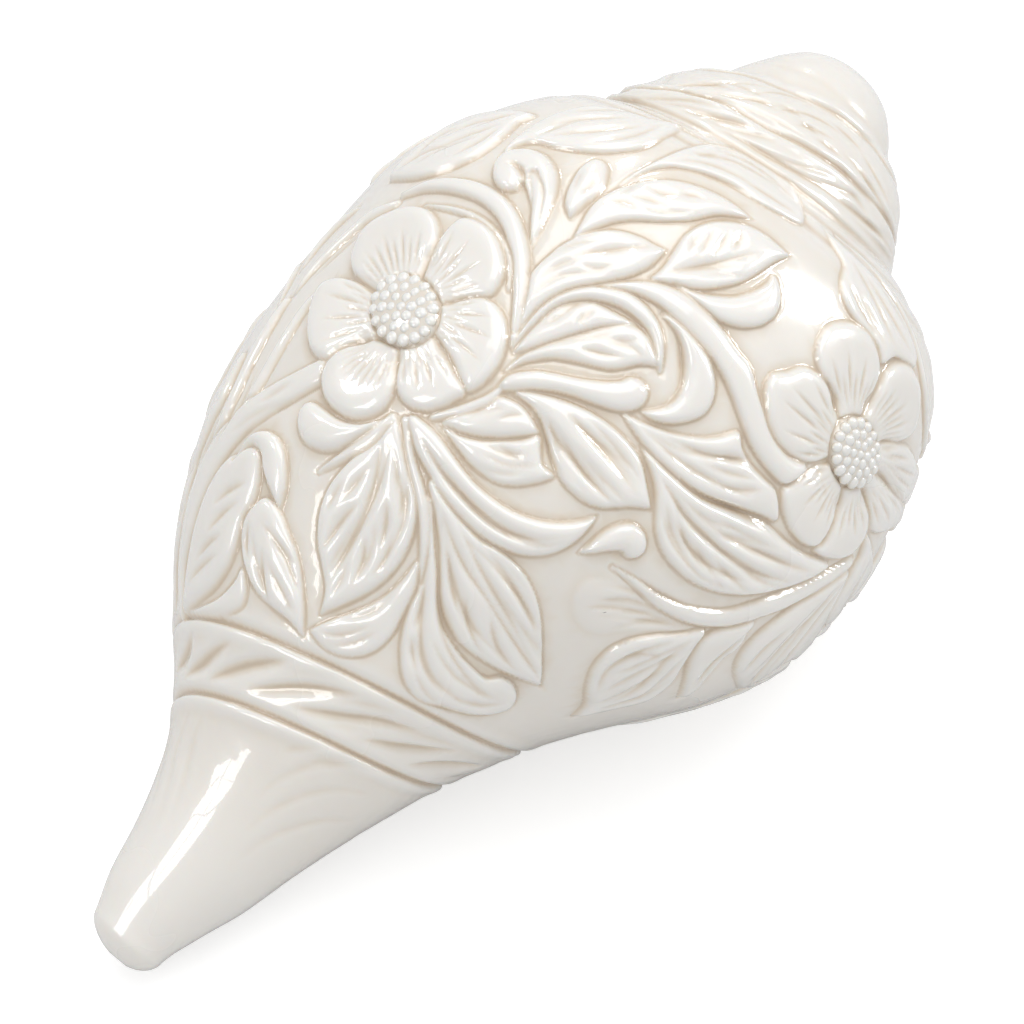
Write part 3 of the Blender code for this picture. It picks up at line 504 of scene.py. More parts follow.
LEAVES = [
    (0.7, (186, 613, 205, 606, 222, 596, 236, 580, 242, 568, 247, 582, 246, 600, 238, 611, 216, 616)),
    (1.1, (185, 614, 189, 575, 196, 534, 208, 496, 224, 467, 242, 452, 257, 448, 263, 456, 261, 482, 254,
           508, 244, 525, 238, 547, 229, 569, 216, 588, 200, 603)),
    (1.2, (304, 638, 288, 620, 268, 604, 254, 588, 245, 565, 242, 542, 246, 522, 256, 506, 268, 498, 280,
           510, 290, 534, 299, 558, 303, 582, 305, 610)),
    (1.4, (281, 511, 272, 494, 265, 474, 263, 456, 256, 448, 246, 452, 236, 463, 249, 441, 264, 432, 277,
           436, 286, 452, 288, 472, 287, 490)),
    (0.9, (309, 630, 330, 620, 356, 611, 382, 598, 402, 580, 419, 560, 417, 585, 405, 612, 392, 636, 372,
           653, 348, 657, 325, 649)),
    (1.3, (320, 615, 325, 592, 323, 570, 318, 545, 319, 518, 326, 494, 339, 474, 356, 456, 372, 441, 388,
           421, 396, 414, 404, 436, 413, 465, 418, 497, 416, 524, 408, 550, 394, 572, 374, 590, 350, 603)),
    (1.2, (422, 498, 432, 500, 434, 540, 437, 572, 438, 602, 443, 626, 456, 649, 470, 665, 485, 677, 500,
           676, 512, 683, 516, 696, 508, 708, 490, 714, 470, 714, 446, 708, 420, 700, 404, 682, 400, 656,
           402, 630, 409, 608, 418, 588, 421, 560)),
    (1.3, (541, 686, 515, 677, 493, 667, 474, 655, 457, 640, 446, 620, 441, 600, 440, 570, 439, 540, 434,
           508, 428, 484, 437, 480, 447, 500, 462, 520, 480, 539, 500, 551, 517, 565, 529, 581, 537, 600,
           541, 622, 542, 650)),
    (1.2, (572, 716, 584, 703, 585, 688, 590, 671, 600, 656, 614, 645, 632, 638, 655, 634, 680, 632, 704,
           628, 693, 645, 682, 662, 671, 679, 656, 692, 638, 701, 612, 707)),
    (1.1, (678, 698, 683, 682, 686, 666, 690, 651, 700, 638, 718, 628, 738, 622, 754, 618, 746, 632, 736,
           646, 722, 657, 710, 670, 700, 682, 690, 692)),
    (1.1, (738, 688, 734, 670, 738, 655, 748, 641, 765, 626, 785, 610, 805, 595, 826, 578, 848, 560, 842,
           585, 830, 610, 815, 634, 796, 654, 772, 672, 752, 684)),
    (1.1, (824, 638, 826, 616, 834, 596, 846, 576, 858, 556, 866, 534, 872, 552, 870, 572, 860, 594, 846,
           616)),
    (1.1, (620, 411, 645, 423, 670, 432, 697, 437, 718, 436, 738, 431, 742, 448, 752, 465, 764, 478, 776,
           492, 776, 520, 758, 514, 735, 507, 712, 499, 690, 487, 668, 470, 645, 447, 632, 430)),
    (1.3, (651, 509, 630, 507, 615, 508, 600, 508, 585, 503, 571, 492, 560, 479, 552, 460, 547, 440, 540,
           420, 530, 406, 513, 392, 534, 393, 556, 398, 576, 405, 596, 415, 615, 429, 631, 445, 641, 461,
           646, 482)),
    (1.1, (441, 423, 455, 415, 470, 404, 487, 398, 503, 397, 519, 404, 530, 415, 537, 428, 538, 434, 520,
           437, 500, 438, 480, 437, 460, 432)),
    (1.1, (441, 425, 458, 435, 478, 440, 500, 441, 520, 440, 539, 436, 541, 450, 543, 465, 554, 476, 545,
           481, 528, 485, 510, 486, 494, 482, 478, 472, 466, 460, 454, 444)),
    (1.5, (597, 516, 588, 529, 576, 541, 559, 551, 540, 556, 520, 555, 500, 548, 479, 536, 461, 519, 446,
           501, 433, 481, 421, 461, 411, 441, 403, 420, 415, 416, 427, 424, 440, 437, 452, 453, 465, 471,
           480, 488, 498, 502, 515, 512, 535, 519, 555, 522, 576, 521)),
    (1.5, (578, 553, 592, 540, 606, 529, 620, 523, 632, 523, 642, 530, 646, 541, 643, 552, 634, 558, 625,
           557, 619, 551, 606, 551, 592, 553)),
    (1.3, (640, 445, 656, 461, 676, 479, 700, 498, 725, 508, 746, 514, 766, 523, 785, 540, 805, 553, 827,
           562, 815, 572, 798, 581, 775, 589, 750, 594, 730, 594, 710, 590, 690, 581, 672, 566, 660, 549,
           655, 530, 655, 510, 654, 489, 649, 468)),
    (1.2, (570, 219, 565, 205, 569, 188, 578, 172, 590, 162, 600, 160, 608, 168, 606, 185, 598, 196, 588,
           204, 578, 213)),
    (1.2, (752, 219, 735, 217, 715, 216, 690, 221, 660, 222, 635, 221, 612, 224, 590, 233, 572, 244, 580,
           226, 592, 206, 610, 193, 638, 183, 665, 180, 690, 184, 712, 192, 732, 203)),
    (1.4, (531, 248, 533, 222, 530, 200, 524, 184, 518, 191, 505, 192, 496, 185, 494, 172, 500, 160, 514,
           152, 534, 151, 549, 158, 558, 174, 557, 194, 550, 211, 542, 229)),
    (1.3, (667, 250, 659, 259, 647, 269, 630, 277, 610, 282, 590, 286, 570, 291, 551, 301, 535, 314, 522,
           330, 511, 348, 512, 318, 521, 291, 531, 274, 546, 258, 562, 245, 580, 237, 600, 231, 620, 231,
           640, 237, 654, 244)),
    (1.3, (790, 256, 775, 262, 760, 272, 745, 281, 725, 287, 700, 290, 680, 287, 664, 283, 650, 279, 662,
           268, 672, 253, 684, 236, 700, 225, 720, 221, 744, 224, 764, 234, 778, 245)),
    (1.4, (674, 284, 692, 291, 712, 295, 733, 296, 752, 291, 765, 283, 773, 275, 779, 286, 780, 301, 775,
           315, 762, 325, 745, 328, 728, 325, 711, 317, 694, 305)),
    (1.1, (512, 354, 528, 334, 548, 314, 570, 302, 594, 303, 612, 311, 632, 322, 648, 336, 656, 352, 640,
           340, 620, 330, 598, 329, 570, 337, 540, 347)),
    (1.2, (503, 372, 522, 356, 545, 346, 572, 337, 600, 329, 630, 326, 646, 335, 655, 350, 661, 366, 640,
           365, 612, 370, 582, 364, 552, 359, 526, 363)),
    (1.5, (511, 350, 524, 328, 542, 308, 564, 294, 590, 287, 614, 289, 634, 296, 651, 311, 661, 329, 664,
           350, 660, 374, 655, 352, 648, 333, 637, 320, 620, 308, 600, 302, 578, 301, 556, 308, 534, 326)),
    (1.4, (640, 411, 660, 408, 673, 400, 681, 387, 684, 369, 682, 349, 675, 331, 662, 314, 680, 323, 697,
           340, 709, 358, 715, 380, 713, 400, 704, 414, 690, 421, 670, 424, 652, 420)),
    (1.5, (494, 392, 508, 376, 530, 371, 552, 373, 576, 378, 600, 381, 618, 381, 630, 377, 642, 381, 648,
           392, 644, 404, 632, 411, 615, 411, 595, 405, 570, 396, 545, 391, 520, 391)),
    (1.3, (596, 286, 622, 282, 650, 282, 678, 290, 704, 310, 722, 328, 738, 351, 750, 366, 756, 388, 763,
           411, 772, 436, 787, 455, 806, 466, 784, 484, 766, 469, 750, 446, 740, 421, 732, 399, 721, 375,
           707, 354, 690, 334, 672, 317, 654, 303, 628, 292)),
    (1.4, (392, 414, 380, 427, 367, 437, 351, 446, 334, 452, 319, 451, 307, 445, 300, 434, 299, 420, 304,
           408, 314, 403, 326, 410, 342, 421, 360, 425, 378, 421)),
]
WORN_SPRAY = (706, 627, 680, 619, 655, 605, 630, 590, 604, 578, 584, 580, 572, 598, 576, 622, 594, 634,
              618, 632, 646, 630, 680, 632)
lay_form(drawn_ring(WORN_SPRAY), 0.45, 5.0, foot=0.0, outline=0.0)
for top, outline in EDGE_LEAVES + LEAVES:
    lay_form(drawn_ring(outline), top)
STRANDS = [
    ((836, 236, 866, 262, 892, 295, 910, 331, 921, 370, 926, 412, 924, 456),
     (0.4, 0.9, 1.0, 1.0, 0.8), 0.8),
    ((612, 567, 636, 583, 660, 602, 690, 615, 720, 618, 750, 611, 786, 598, 820, 580, 848, 562),
     (0.2, 0.8, 1.3, 1.5, 1.3, 0.9), 0.85),
    ((404, 196, 430, 187, 460, 187, 490, 198, 510, 220, 520, 252, 521, 290, 515, 330),
     (0.5, 1.1, 1.3, 1.3, 1.2, 1.0, 0.5), 1.1),
    ((425, 205, 455, 210, 482, 221, 501, 241, 510, 264, 508, 290),
     (0.2, 0.45, 0.5, 0.5, 0.45, 0.2), 0.9),
    ((536, 178, 540, 196, 536, 218, 532, 240),
     (0.5, 0.7, 0.6, 0.2), 1.5),
    ((405, 420, 412, 462, 422, 500, 424, 545, 420, 585),
     (0.5, 0.6, 0.7, 0.6, 0.1), 1.2),
    ((498, 392, 484, 402, 462, 410, 432, 418),
     (0.5, 0.7, 0.6, 0.4), 1.1),
    ((392, 418, 372, 440, 342, 458, 318, 472),
     (0.6, 0.9, 0.7, 0.2), 0.9),
]
for points, widths, top in STRANDS:
    lay_strand(drawn(points, 36), widths, top)
VEINS = [
    (203, 562, 212, 548, 224, 540), (214, 534, 226, 518, 240, 508), (222, 506, 234, 494, 248, 488),
    (196, 585, 206, 570, 220, 560), (257, 543, 260, 570, 268, 596), (272, 568, 283, 592, 297, 618),
    (270, 532, 286, 552, 300, 572), (344, 487, 335, 500, 330, 514), (352, 532, 338, 556, 327, 578),
    (372, 470, 358, 486, 346, 502), (376, 528, 374, 548, 366, 568), (350, 560, 343, 580, 332, 600),
    (395, 450, 398, 470, 397, 490), (392, 540, 386, 560, 374, 576), (318, 632, 340, 636, 365, 628),
    (330, 645, 352, 644, 372, 634), (348, 620, 372, 612, 392, 596), (421, 642, 430, 675, 455, 697),
    (432, 640, 450, 672, 482, 694), (414, 668, 424, 692, 446, 709), (455, 697, 475, 703, 495, 701),
    (424, 590, 420, 610, 412, 630), (444, 600, 450, 625, 462, 642), (470, 545, 492, 565, 515, 592),
    (500, 560, 520, 582, 533, 608), (502, 578, 522, 602, 538, 632), (505, 606, 522, 628, 538, 650),
    (520, 628, 530, 645, 539, 662), (462, 424, 482, 413, 505, 409), (500, 420, 515, 416, 528, 418),
    (482, 444, 502, 454, 522, 459), (484, 455, 506, 465, 532, 466), (498, 446, 512, 454, 526, 456),
    (480, 468, 500, 474, 522, 474), (552, 430, 562, 462, 584, 492), (578, 450, 598, 476, 622, 500),
    (600, 446, 618, 464, 634, 484), (575, 424, 598, 442, 622, 462), (545, 412, 556, 440, 572, 470),
    (700, 462, 724, 471, 750, 477), (716, 456, 732, 458, 748, 458), (722, 486, 742, 489, 756, 487),
    (648, 432, 680, 450, 712, 456), (690, 532, 700, 556, 716, 582), (708, 550, 722, 570, 742, 588),
    (738, 564, 754, 577, 774, 584), (690, 508, 716, 530, 750, 540), (716, 518, 745, 534, 772, 546),
    (676, 492, 702, 516, 730, 526), (740, 545, 768, 556, 800, 566), (730, 512, 756, 524, 778, 540),
    (604, 600, 632, 600, 656, 611), (606, 608, 634, 611, 662, 620), (612, 617, 640, 620, 670, 625),
    (592, 700, 622, 688, 652, 672), (600, 687, 630, 672, 672, 652), (624, 656, 640, 652, 652, 654),
    (610, 670, 640, 660, 676, 642), (640, 690, 660, 675, 676, 656), (600, 703, 640, 692, 664, 676),
    (690, 686, 708, 662, 730, 642), (700, 672, 720, 652, 744, 630), (748, 682, 776, 650, 806, 616),
    (756, 664, 780, 640, 812, 604), (770, 662, 798, 630, 826, 590), (785, 655, 812, 620, 838, 582),
    (742, 668, 758, 648, 780, 628), (834, 616, 848, 594, 862, 566), (500, 530, 530, 545, 562, 542),
    (540, 282, 560, 268, 582, 262), (583, 267, 600, 271, 612, 266), (632, 250, 648, 248, 662, 249),
    (536, 296, 562, 278, 600, 276), (545, 262, 570, 248, 600, 243), (702, 230, 695, 240, 688, 252),
    (714, 230, 707, 242, 700, 254), (728, 234, 720, 246, 712, 258), (742, 230, 738, 240, 732, 250),
    (700, 278, 722, 274, 744, 277), (690, 272, 715, 268, 740, 268), (624, 198, 630, 191, 640, 186),
    (652, 191, 664, 196, 678, 197), (682, 197, 694, 197, 704, 201), (636, 199, 654, 203, 668, 209),
    (606, 205, 624, 204, 640, 212), (640, 206, 660, 213, 690, 214), (676, 163, 706, 165, 742, 180),
    (696, 158, 734, 163, 772, 184), (718, 154, 754, 166, 788, 196), (740, 180, 768, 197, 794, 214),
    (700, 172, 730, 184, 760, 200), (690, 153, 700, 156, 716, 156), (577, 192, 580, 180, 586, 172),
    (584, 197, 592, 188, 598, 180), (560, 312, 575, 306, 590, 308), (580, 328, 584, 318, 596, 310),
    (540, 328, 560, 318, 576, 306), (598, 338, 622, 341, 640, 340), (608, 345, 630, 348, 642, 360),
    (560, 345, 590, 338, 620, 332), (678, 330, 682, 360, 680, 388), (405, 172, 425, 158, 446, 150),
    (425, 165, 450, 150, 478, 142), (440, 152, 468, 140, 500, 130), (420, 160, 440, 142, 462, 132),
    (460, 158, 480, 146, 502, 132), (450, 140, 475, 128, 500, 122), (480, 130, 500, 122, 520, 118),
    (555, 128, 590, 122, 625, 122), (560, 138, 600, 134, 640, 130), (580, 116, 610, 113, 640, 116),
    (600, 144, 630, 140, 658, 130), (540, 140, 556, 132, 575, 126), (850, 262, 872, 300, 888, 338),
    (862, 274, 884, 308, 902, 342), (856, 290, 868, 314, 880, 340), (870, 276, 888, 300, 902, 326),
]
DEEP_VEINS = [
    (253, 528, 249, 545, 252, 562), (266, 558, 265, 580, 271, 602), (278, 546, 289, 564, 300, 592),
    (383, 450, 377, 480, 367, 510), (364, 516, 350, 545, 330, 582), (360, 508, 345, 522, 326, 550),
    (388, 506, 387, 526, 381, 552), (366, 540, 364, 562, 356, 582), (399, 478, 403, 500, 400, 518),
    (411, 638, 412, 655, 415, 668), (445, 520, 460, 560, 482, 594), (480, 590, 505, 630, 536, 676),
    (449, 560, 452, 592, 460, 620), (465, 600, 468, 628, 480, 652), (489, 620, 495, 645, 510, 666),
    (560, 434, 583, 472, 610, 502), (660, 476, 680, 510, 722, 552), (720, 550, 746, 568, 776, 576),
    (664, 500, 670, 530, 684, 556), (676, 512, 684, 540, 700, 566), (430, 452, 450, 482, 480, 510),
    (460, 490, 490, 524, 532, 540), (578, 258, 600, 254, 632, 250), (655, 276, 700, 267, 745, 256),
    (580, 349, 600, 354, 620, 357), (846, 282, 858, 306, 872, 332),
]


def lengthened(points, share=0.42):
    """A drawn line carried on at both ends, where its cut runs out."""
    line = np.array(points, float).reshape(-1, 2)
    before, after = line[0] + (line[0] - line[1]) * share, line[-1] + (line[-1] - line[-2]) * share
    return np.vstack([before, line[1:-1], after])


LONG_VALLEYS = [
    (652, 470, 669, 492, 688, 522, 720, 549, 768, 577), (656, 488, 661, 515, 672, 545, 699, 576, 734, 590),
    (667, 502, 680, 534, 707, 564, 748, 582), (692, 490, 730, 508, 770, 530),
    (704, 528, 745, 545, 786, 562), (536, 405, 552, 432, 569, 455, 588, 478, 611, 503),
    (560, 405, 592, 440, 620, 474, 640, 502), (536, 412, 546, 440, 556, 466, 576, 490),
    (578, 410, 606, 438, 632, 470, 644, 494), (630, 418, 660, 446, 700, 474, 748, 496),
    (650, 430, 700, 452, 742, 462, 768, 486), (440, 498, 448, 560, 468, 620, 508, 668),
    (450, 508, 480, 570, 510, 622, 536, 672), (474, 536, 508, 578, 530, 622, 540, 662),
    (430, 520, 425, 580, 420, 630, 424, 670, 448, 704), (436, 566, 438, 610, 448, 650, 474, 686, 504, 702),
    (414, 424, 440, 470, 478, 512, 528, 538, 580, 534), (396, 420, 386, 470, 366, 520, 326, 596),
    (400, 430, 408, 480, 402, 530, 372, 580), (596, 702, 636, 684, 668, 652, 692, 632),
    (588, 700, 604, 668, 640, 648, 684, 634), (744, 682, 780, 646, 816, 606, 842, 572),
]
VALLEY_CUTS = [(0.75, 0.5), (0.22, 0.14)]
VEIN_CUTS = [(0.72, 0.36), (0.22, 0.1)]
DEEP_VEIN_CUTS = [(0.85, 0.5), (0.24, 0.2)]
SCROLL_EYE = (508, 171, 516, 168, 524, 174, 526, 182, 519, 189)
lay_cuts(LONG_VALLEYS, 20, *VALLEY_CUTS)
lay_cuts(map(lengthened, VEINS), 10, *VEIN_CUTS)
lay_cuts(map(lengthened, DEEP_VEINS), 12, *DEEP_VEIN_CUTS)
lay_cuts([SCROLL_EYE], 14, (0.5, 0.9))
SPRAY_CUTS = [
    (594, 582, 640, 594, 694, 620), (586, 598, 634, 604, 690, 623), (586, 616, 640, 613, 694, 626),
    (614, 574, 652, 590, 698, 616), (600, 630, 650, 622, 698, 628), (580, 607, 610, 606, 640, 610),
]
lay_cuts(SPRAY_CUTS, 14, (0.6, 0.34))


# Underneath and on the lip's side the same sprays go on, as the shell is carved all round. They are drawn
# straight on the wall, by angle and by place along the axis: stems first, with the leaves and the curls
# over them.
HIDDEN_STEMS = [
    ((84, 37, 86, 50, 94, 64, 103, 76), (1.1, 1.5, 1.4, 1.1)),
    ((122, 33, 124, 42, 130, 50), (0.8, 1.1, 0.7)),
    ((104, 96, 99, 106, 88, 111, 80, 106, 82, 100, 87, 101), (1.2, 1.3, 1.2, 1.1, 0.9, 0.9)),
    ((-103, 89, -120, 93, -140, 90, -160, 80, -172, 70), (0.9, 1.4, 1.5, 1.2, 0.8)),
    ((-104, 118, -124, 119, -144, 116, -152, 110, -147, 106, -142, 109), (0.8, 1.2, 1.2, 1.1, 0.9, 0.9)),
]
HIDDEN_LEAVES = [
    ((85, 42, 79, 48, 76, 58), 2.8), ((86, 46, 99, 44, 116, 49), 4.3), ((92, 60, 83, 66, 79, 78), 3.9),
    ((90, 57, 105, 58, 124, 67), 4.8), ((128, 48, 134, 56, 136, 68), 3.4),
    ((122, 84, 133, 81, 142, 72), 3.6), ((120, 92, 131, 94, 143, 102), 3.8),
    ((108, 98, 115, 106, 130, 110), 3.6), ((94, 93, 83, 92, 73, 84), 3.2),
    ((81, 112, 73, 107, 69, 97), 3.4), ((84, 60, 76, 66, 71, 77), 3.0),
    ((-101, 109, -110, 110, -121, 106), 4.6), ((-102, 95, -114, 102, -131, 107), 4.4),
    ((-102, 84, -112, 77, -117, 63), 4.8), ((-128, 91, -135, 80, -131, 65), 4.6),
    ((-150, 86, -154, 76, -149, 62), 4.4), ((-134, 92, -146, 97, -160, 98), 3.6),
    ((-154, 84, -164, 89, -176, 90), 3.4), ((-147, 115, -159, 117, -173, 112), 3.2),
]
HIDDEN_STEM_TOP = 1.2
HIDDEN_LEAF_TOP = 1.3
LEAF_STEPS = 20
RIB_CUTS = [(0.75, 0.5), (0.3, 0.16)]
SIDE_VEIN_CUT = (0.6, 0.3)
leaf_spread = curve([(0, 0.12), (0.12, 0.6), (0.34, 1.0), (0.6, 0.84), (0.84, 0.36), (1, 0.03)])


def beside(line, out):
    """The line on the wall that runs this far, in millimetres, to the left of another."""
    girth = np.radians(bare_radius(line[:, 0], line[:, 1]))
    scale = np.stack([girth, np.ones_like(girth)], -1)
    heading = np.gradient(line * scale, axis=0)
    sideways = np.stack([-heading[:, 1], heading[:, 0]], -1) / np.linalg.norm(heading, axis=1)[:, None]
    return line + sideways * np.reshape(out, (-1, 1)) / scale


for spots, widths in HIDDEN_STEMS:
    lay_strand(through(np.reshape(spots, (-1, 2)), 30), widths, HIDDEN_STEM_TOP)
for spots, half in HIDDEN_LEAVES:
    rib = through(np.reshape(spots, (-1, 2)), LEAF_STEPS)
    spread = half * leaf_spread(np.linspace(0, 1, LEAF_STEPS))
    lay_form(np.vstack([beside(rib, spread), beside(rib, -spread)[::-1]]), HIDDEN_LEAF_TOP)
    for cut in RIB_CUTS:
        lay_cut(rib[:-2], *cut)
    for side in (-1, 1):
        for first in range(2, LEAF_STEPS - 8, 3):
            run = slice(first, first + 7)
            vein = beside(rib[run], side * spread[run] * np.linspace(0.12, 0.78, 7))
            lay_cut(vein, *SIDE_VEIN_CUT)


# The flowers stand proudest of the carving: broad petals with plump rims that sink towards the middle,
# cut with fine flutes that run out from a domed boss. The boss carries the beads and has a line cut round
# its foot.
BOSS_TOP = 1.55
PETAL_TOP = 1.75
PETAL_CUTS = [(0.36, 0.24), (0.15, 0.13)]
boss_shadow = np.zeros_like(s_grid)
bosses = []


def lay_flower(petals, boss, flutes=11, seed=0.0):
    """Petals and a boss from their outlines on the wall; a petal's outline starts and ends at the boss."""
    middle = on_wall(boss).mean(0)
    reach = max(np.linalg.norm(on_wall(petal) - middle, axis=1).max() for petal in petals)
    for petal in petals:
        lay_form(petal, PETAL_TOP, 2.4, hub=(middle, 0.95 * reach), foot=0.4)
    for number, petal in enumerate(petals):
        count = len(petal)
        for k in range(flutes):
            share = (k + 0.5) / flutes
            start = petal[0] + (petal[-1] - petal[0]) * share
            tip = petal[int((0.18 + 0.64 * share) * count)]
            length = 0.66 + 0.2 * np.sin(3.1 * k + 2.3 * number + seed)
            flute = np.linspace(start, start + (tip - start) * length, 6)
            for cut in PETAL_CUTS:
                lay_cut(flute, *cut)
    near, depth = lay_form(boss, BOSS_TOP, 4.5, foot=0.5)
    score[near] += 0.3 * bump(depth, 0.22)
    boss_shadow[near] = np.maximum(boss_shadow[near], ease(0.2, 0.6, depth))
    bosses.append(boss)


def oval(centre, across, upright, count=24):
    """The outline on the wall of an oval boss of the drawing."""
    turn = np.arange(count) * 2 * np.pi / count
    return pounce(np.stack([centre[0] + across * np.cos(turn), centre[1] + upright * np.sin(turn)], -1))


BACK_PETALS = [
    (420, 278, 429, 261, 438, 246, 441, 233, 438, 221, 431, 212, 419, 209, 407, 211, 392, 217, 378, 225,
     365, 238, 357, 252, 353, 266, 357, 277, 370, 286, 386, 297),
    (441, 304, 446, 304, 470, 299, 489, 298, 498, 290, 505, 275, 505, 258, 499, 241, 488, 228, 475, 221,
     464, 220, 452, 228, 442, 240, 432, 258, 424, 278),
    (434, 334, 447, 353, 457, 373, 467, 392, 481, 387, 494, 374, 503, 358, 508, 340, 507, 322, 500, 309,
     490, 301, 478, 299, 460, 301, 442, 306),
    (400, 348, 397, 366, 396, 385, 400, 398, 410, 408, 425, 412, 441, 409, 455, 402, 466, 393, 456, 375,
     445, 354, 432, 336),
    (376, 340, 360, 343, 343, 350, 332, 360, 325, 374, 323, 388, 327, 401, 336, 412, 350, 420, 366, 420,
     380, 414, 390, 403, 396, 388, 397, 368, 399, 349),
    (386, 298, 369, 290, 358, 283, 345, 280, 332, 283, 323, 291, 316, 303, 312, 318, 310, 335, 312, 350,
     320, 359, 330, 361, 338, 355, 347, 348, 360, 343, 376, 339),
]
SIDE_PETALS = [
    (828, 457, 812, 462, 797, 459, 783, 450, 772, 436, 765, 418, 763, 398, 765, 382, 772, 373, 786, 371,
     800, 366, 813, 370, 824, 379, 832, 394, 836, 410, 838, 421),
    (838, 418, 836, 400, 829, 386, 820, 374, 815, 360, 815, 348, 819, 336, 827, 325, 839, 321, 854, 323,
     866, 332, 874, 345, 878, 360, 878, 373, 873, 388, 866, 402, 860, 416),
    (862, 418, 872, 399, 880, 381, 885, 369, 893, 362, 903, 362, 912, 370, 917, 385, 917, 405, 914, 422,
     908, 434, 899, 440, 886, 442, 874, 443),
    (874, 445, 888, 442, 903, 444, 911, 452, 915, 466, 914, 482, 909, 497, 902, 506, 893, 492, 884, 479,
     873, 467),
    (871, 470, 882, 479, 893, 493, 902, 507, 896, 519, 887, 528, 877, 532, 868, 528, 867, 512, 865, 497,
     861, 484),
    (859, 486, 865, 500, 867, 516, 864, 530, 857, 543, 848, 553, 835, 558, 820, 556, 812, 549, 822, 540,
     832, 522, 838, 505, 843, 488),
    (841, 486, 838, 503, 832, 519, 822, 537, 812, 546, 801, 543, 791, 533, 784, 519, 780, 503, 781, 489,
     792, 482, 803, 475, 815, 467, 829, 463),
]


def petal_ring(outline):
    """The outline on the wall of a petal of the drawing."""
    return pounce(through(np.reshape(outline, (-1, 2)), 2 * len(outline)))


lay_flower([petal_ring(petal) for petal in BACK_PETALS], oval((407, 313), 34, 36), seed=0.4)
lay_flower([petal_ring(petal) for petal in SIDE_PETALS], oval((851, 450), 23, 35), seed=1.7)


# The third flower is out of sight on the lip's side. It is smaller and has six like petals, set out on
# the wall and cut in the same way as the others.
LIP_FLOWER = np.array((108.0, 86.0))
LIP_PETALS = 6
LIP_PETAL = [(0.04, 3.9), (0.03, 7.0), (0.12, 9.4), (0.32, 11.0), (0.5, 11.3), (0.68, 11.0), (0.88, 9.4),
             (0.97, 7.0), (0.96, 3.9)]
LIP_BOSS = 4.2


def about(centre, turn, radius):
    """A spot at this distance and direction from another, both on the wall."""
    girth = float(bare_radius(*np.array(centre, float)[:, None])[0])
    return (centre[0] + np.degrees(radius * np.cos(turn) / girth), centre[1] + radius * np.sin(turn))


def lip_petal(number):
    """One petal's outline, from its shares of the petal's angle and its distances from the middle."""
    start = 2 * np.pi * number / LIP_PETALS
    span = 2 * np.pi / LIP_PETALS
    return through([about(LIP_FLOWER, start + span * share, radius) for share, radius in LIP_PETAL], 40)


lip_disc = np.array([about(LIP_FLOWER, turn, LIP_BOSS) for turn in np.arange(24) * np.pi / 12])
lay_flower([lip_petal(number) for number in range(LIP_PETALS)], lip_disc, seed=2.9)


# The shell itself, one solid piece: the carved skin is thinned to the faces that its form needs, the
# mouth and the hollow behind the lip are cut out, and it is ground flat where it rests.
def smoothed(values, radius):
    """The mean of a value on the wall over a round patch of this radius, in millimetres."""
    frequency = np.fft.rfftfreq(len(column_angles))
    mean_step = 2 * np.pi * bare_grid.mean(1) / len(column_angles)
    blur = np.exp(-2 * (np.pi * frequency[None] * (radius / mean_step)[:, None]) ** 2)
    around = np.fft.irfft(np.fft.rfft(values, axis=1) * blur, n=len(column_angles), axis=1)
    total, weight = np.zeros_like(values), np.zeros((len(row_places), 1))
    reach = int(3 * radius / np.diff(row_places).min()) + 1
    for shift in range(-reach, reach + 1):
        source = np.clip(np.arange(len(row_places)) + shift, 0, len(row_places) - 1)
        share = bump(row_places[source] - row_places, radius * np.sqrt(2))[:, None]
        total += share * around[source]
        weight += share
    return total / weight


HAND_WAVER = 0.022
FORM_SOFTNESS, CUT_SOFTNESS, CREASE_SOFTNESS = 0.22, 0.1, 0.26
WORN_BANDS = [(-99, 11), (76, 12)]
WORN_SHARE = 0.45
x, y, z = np.moveaxis(wall, -1, 0)
long_waves = np.sin(0.9 * x + 0.5 * z) * np.sin(0.8 * y + 1.1)
short_waves = 0.6 * np.sin(1.7 * x - 1.1 * y) * np.sin(1.5 * z + 0.4)
worn = np.ones_like(angle_grid)
for middle, half_width in WORN_BANDS:
    worn -= WORN_SHARE * bump(angle_grid - middle, half_width)
rise = smoothed(rise * worn + HAND_WAVER * (long_waves + short_waves), FORM_SOFTNESS)
rise -= smoothed(score, CUT_SOFTNESS)
calm = ease(12, 30, s_grid) * ease(2, 8, LENGTH - s_grid)
softened_wall = bare_grid + (smoothed(bare_grid, CREASE_SOFTNESS) - bare_grid) * calm
carved_radius = softened_wall + rise * calm
skin = place(angle_grid, s_grid, carved_radius)
FACES = 186000


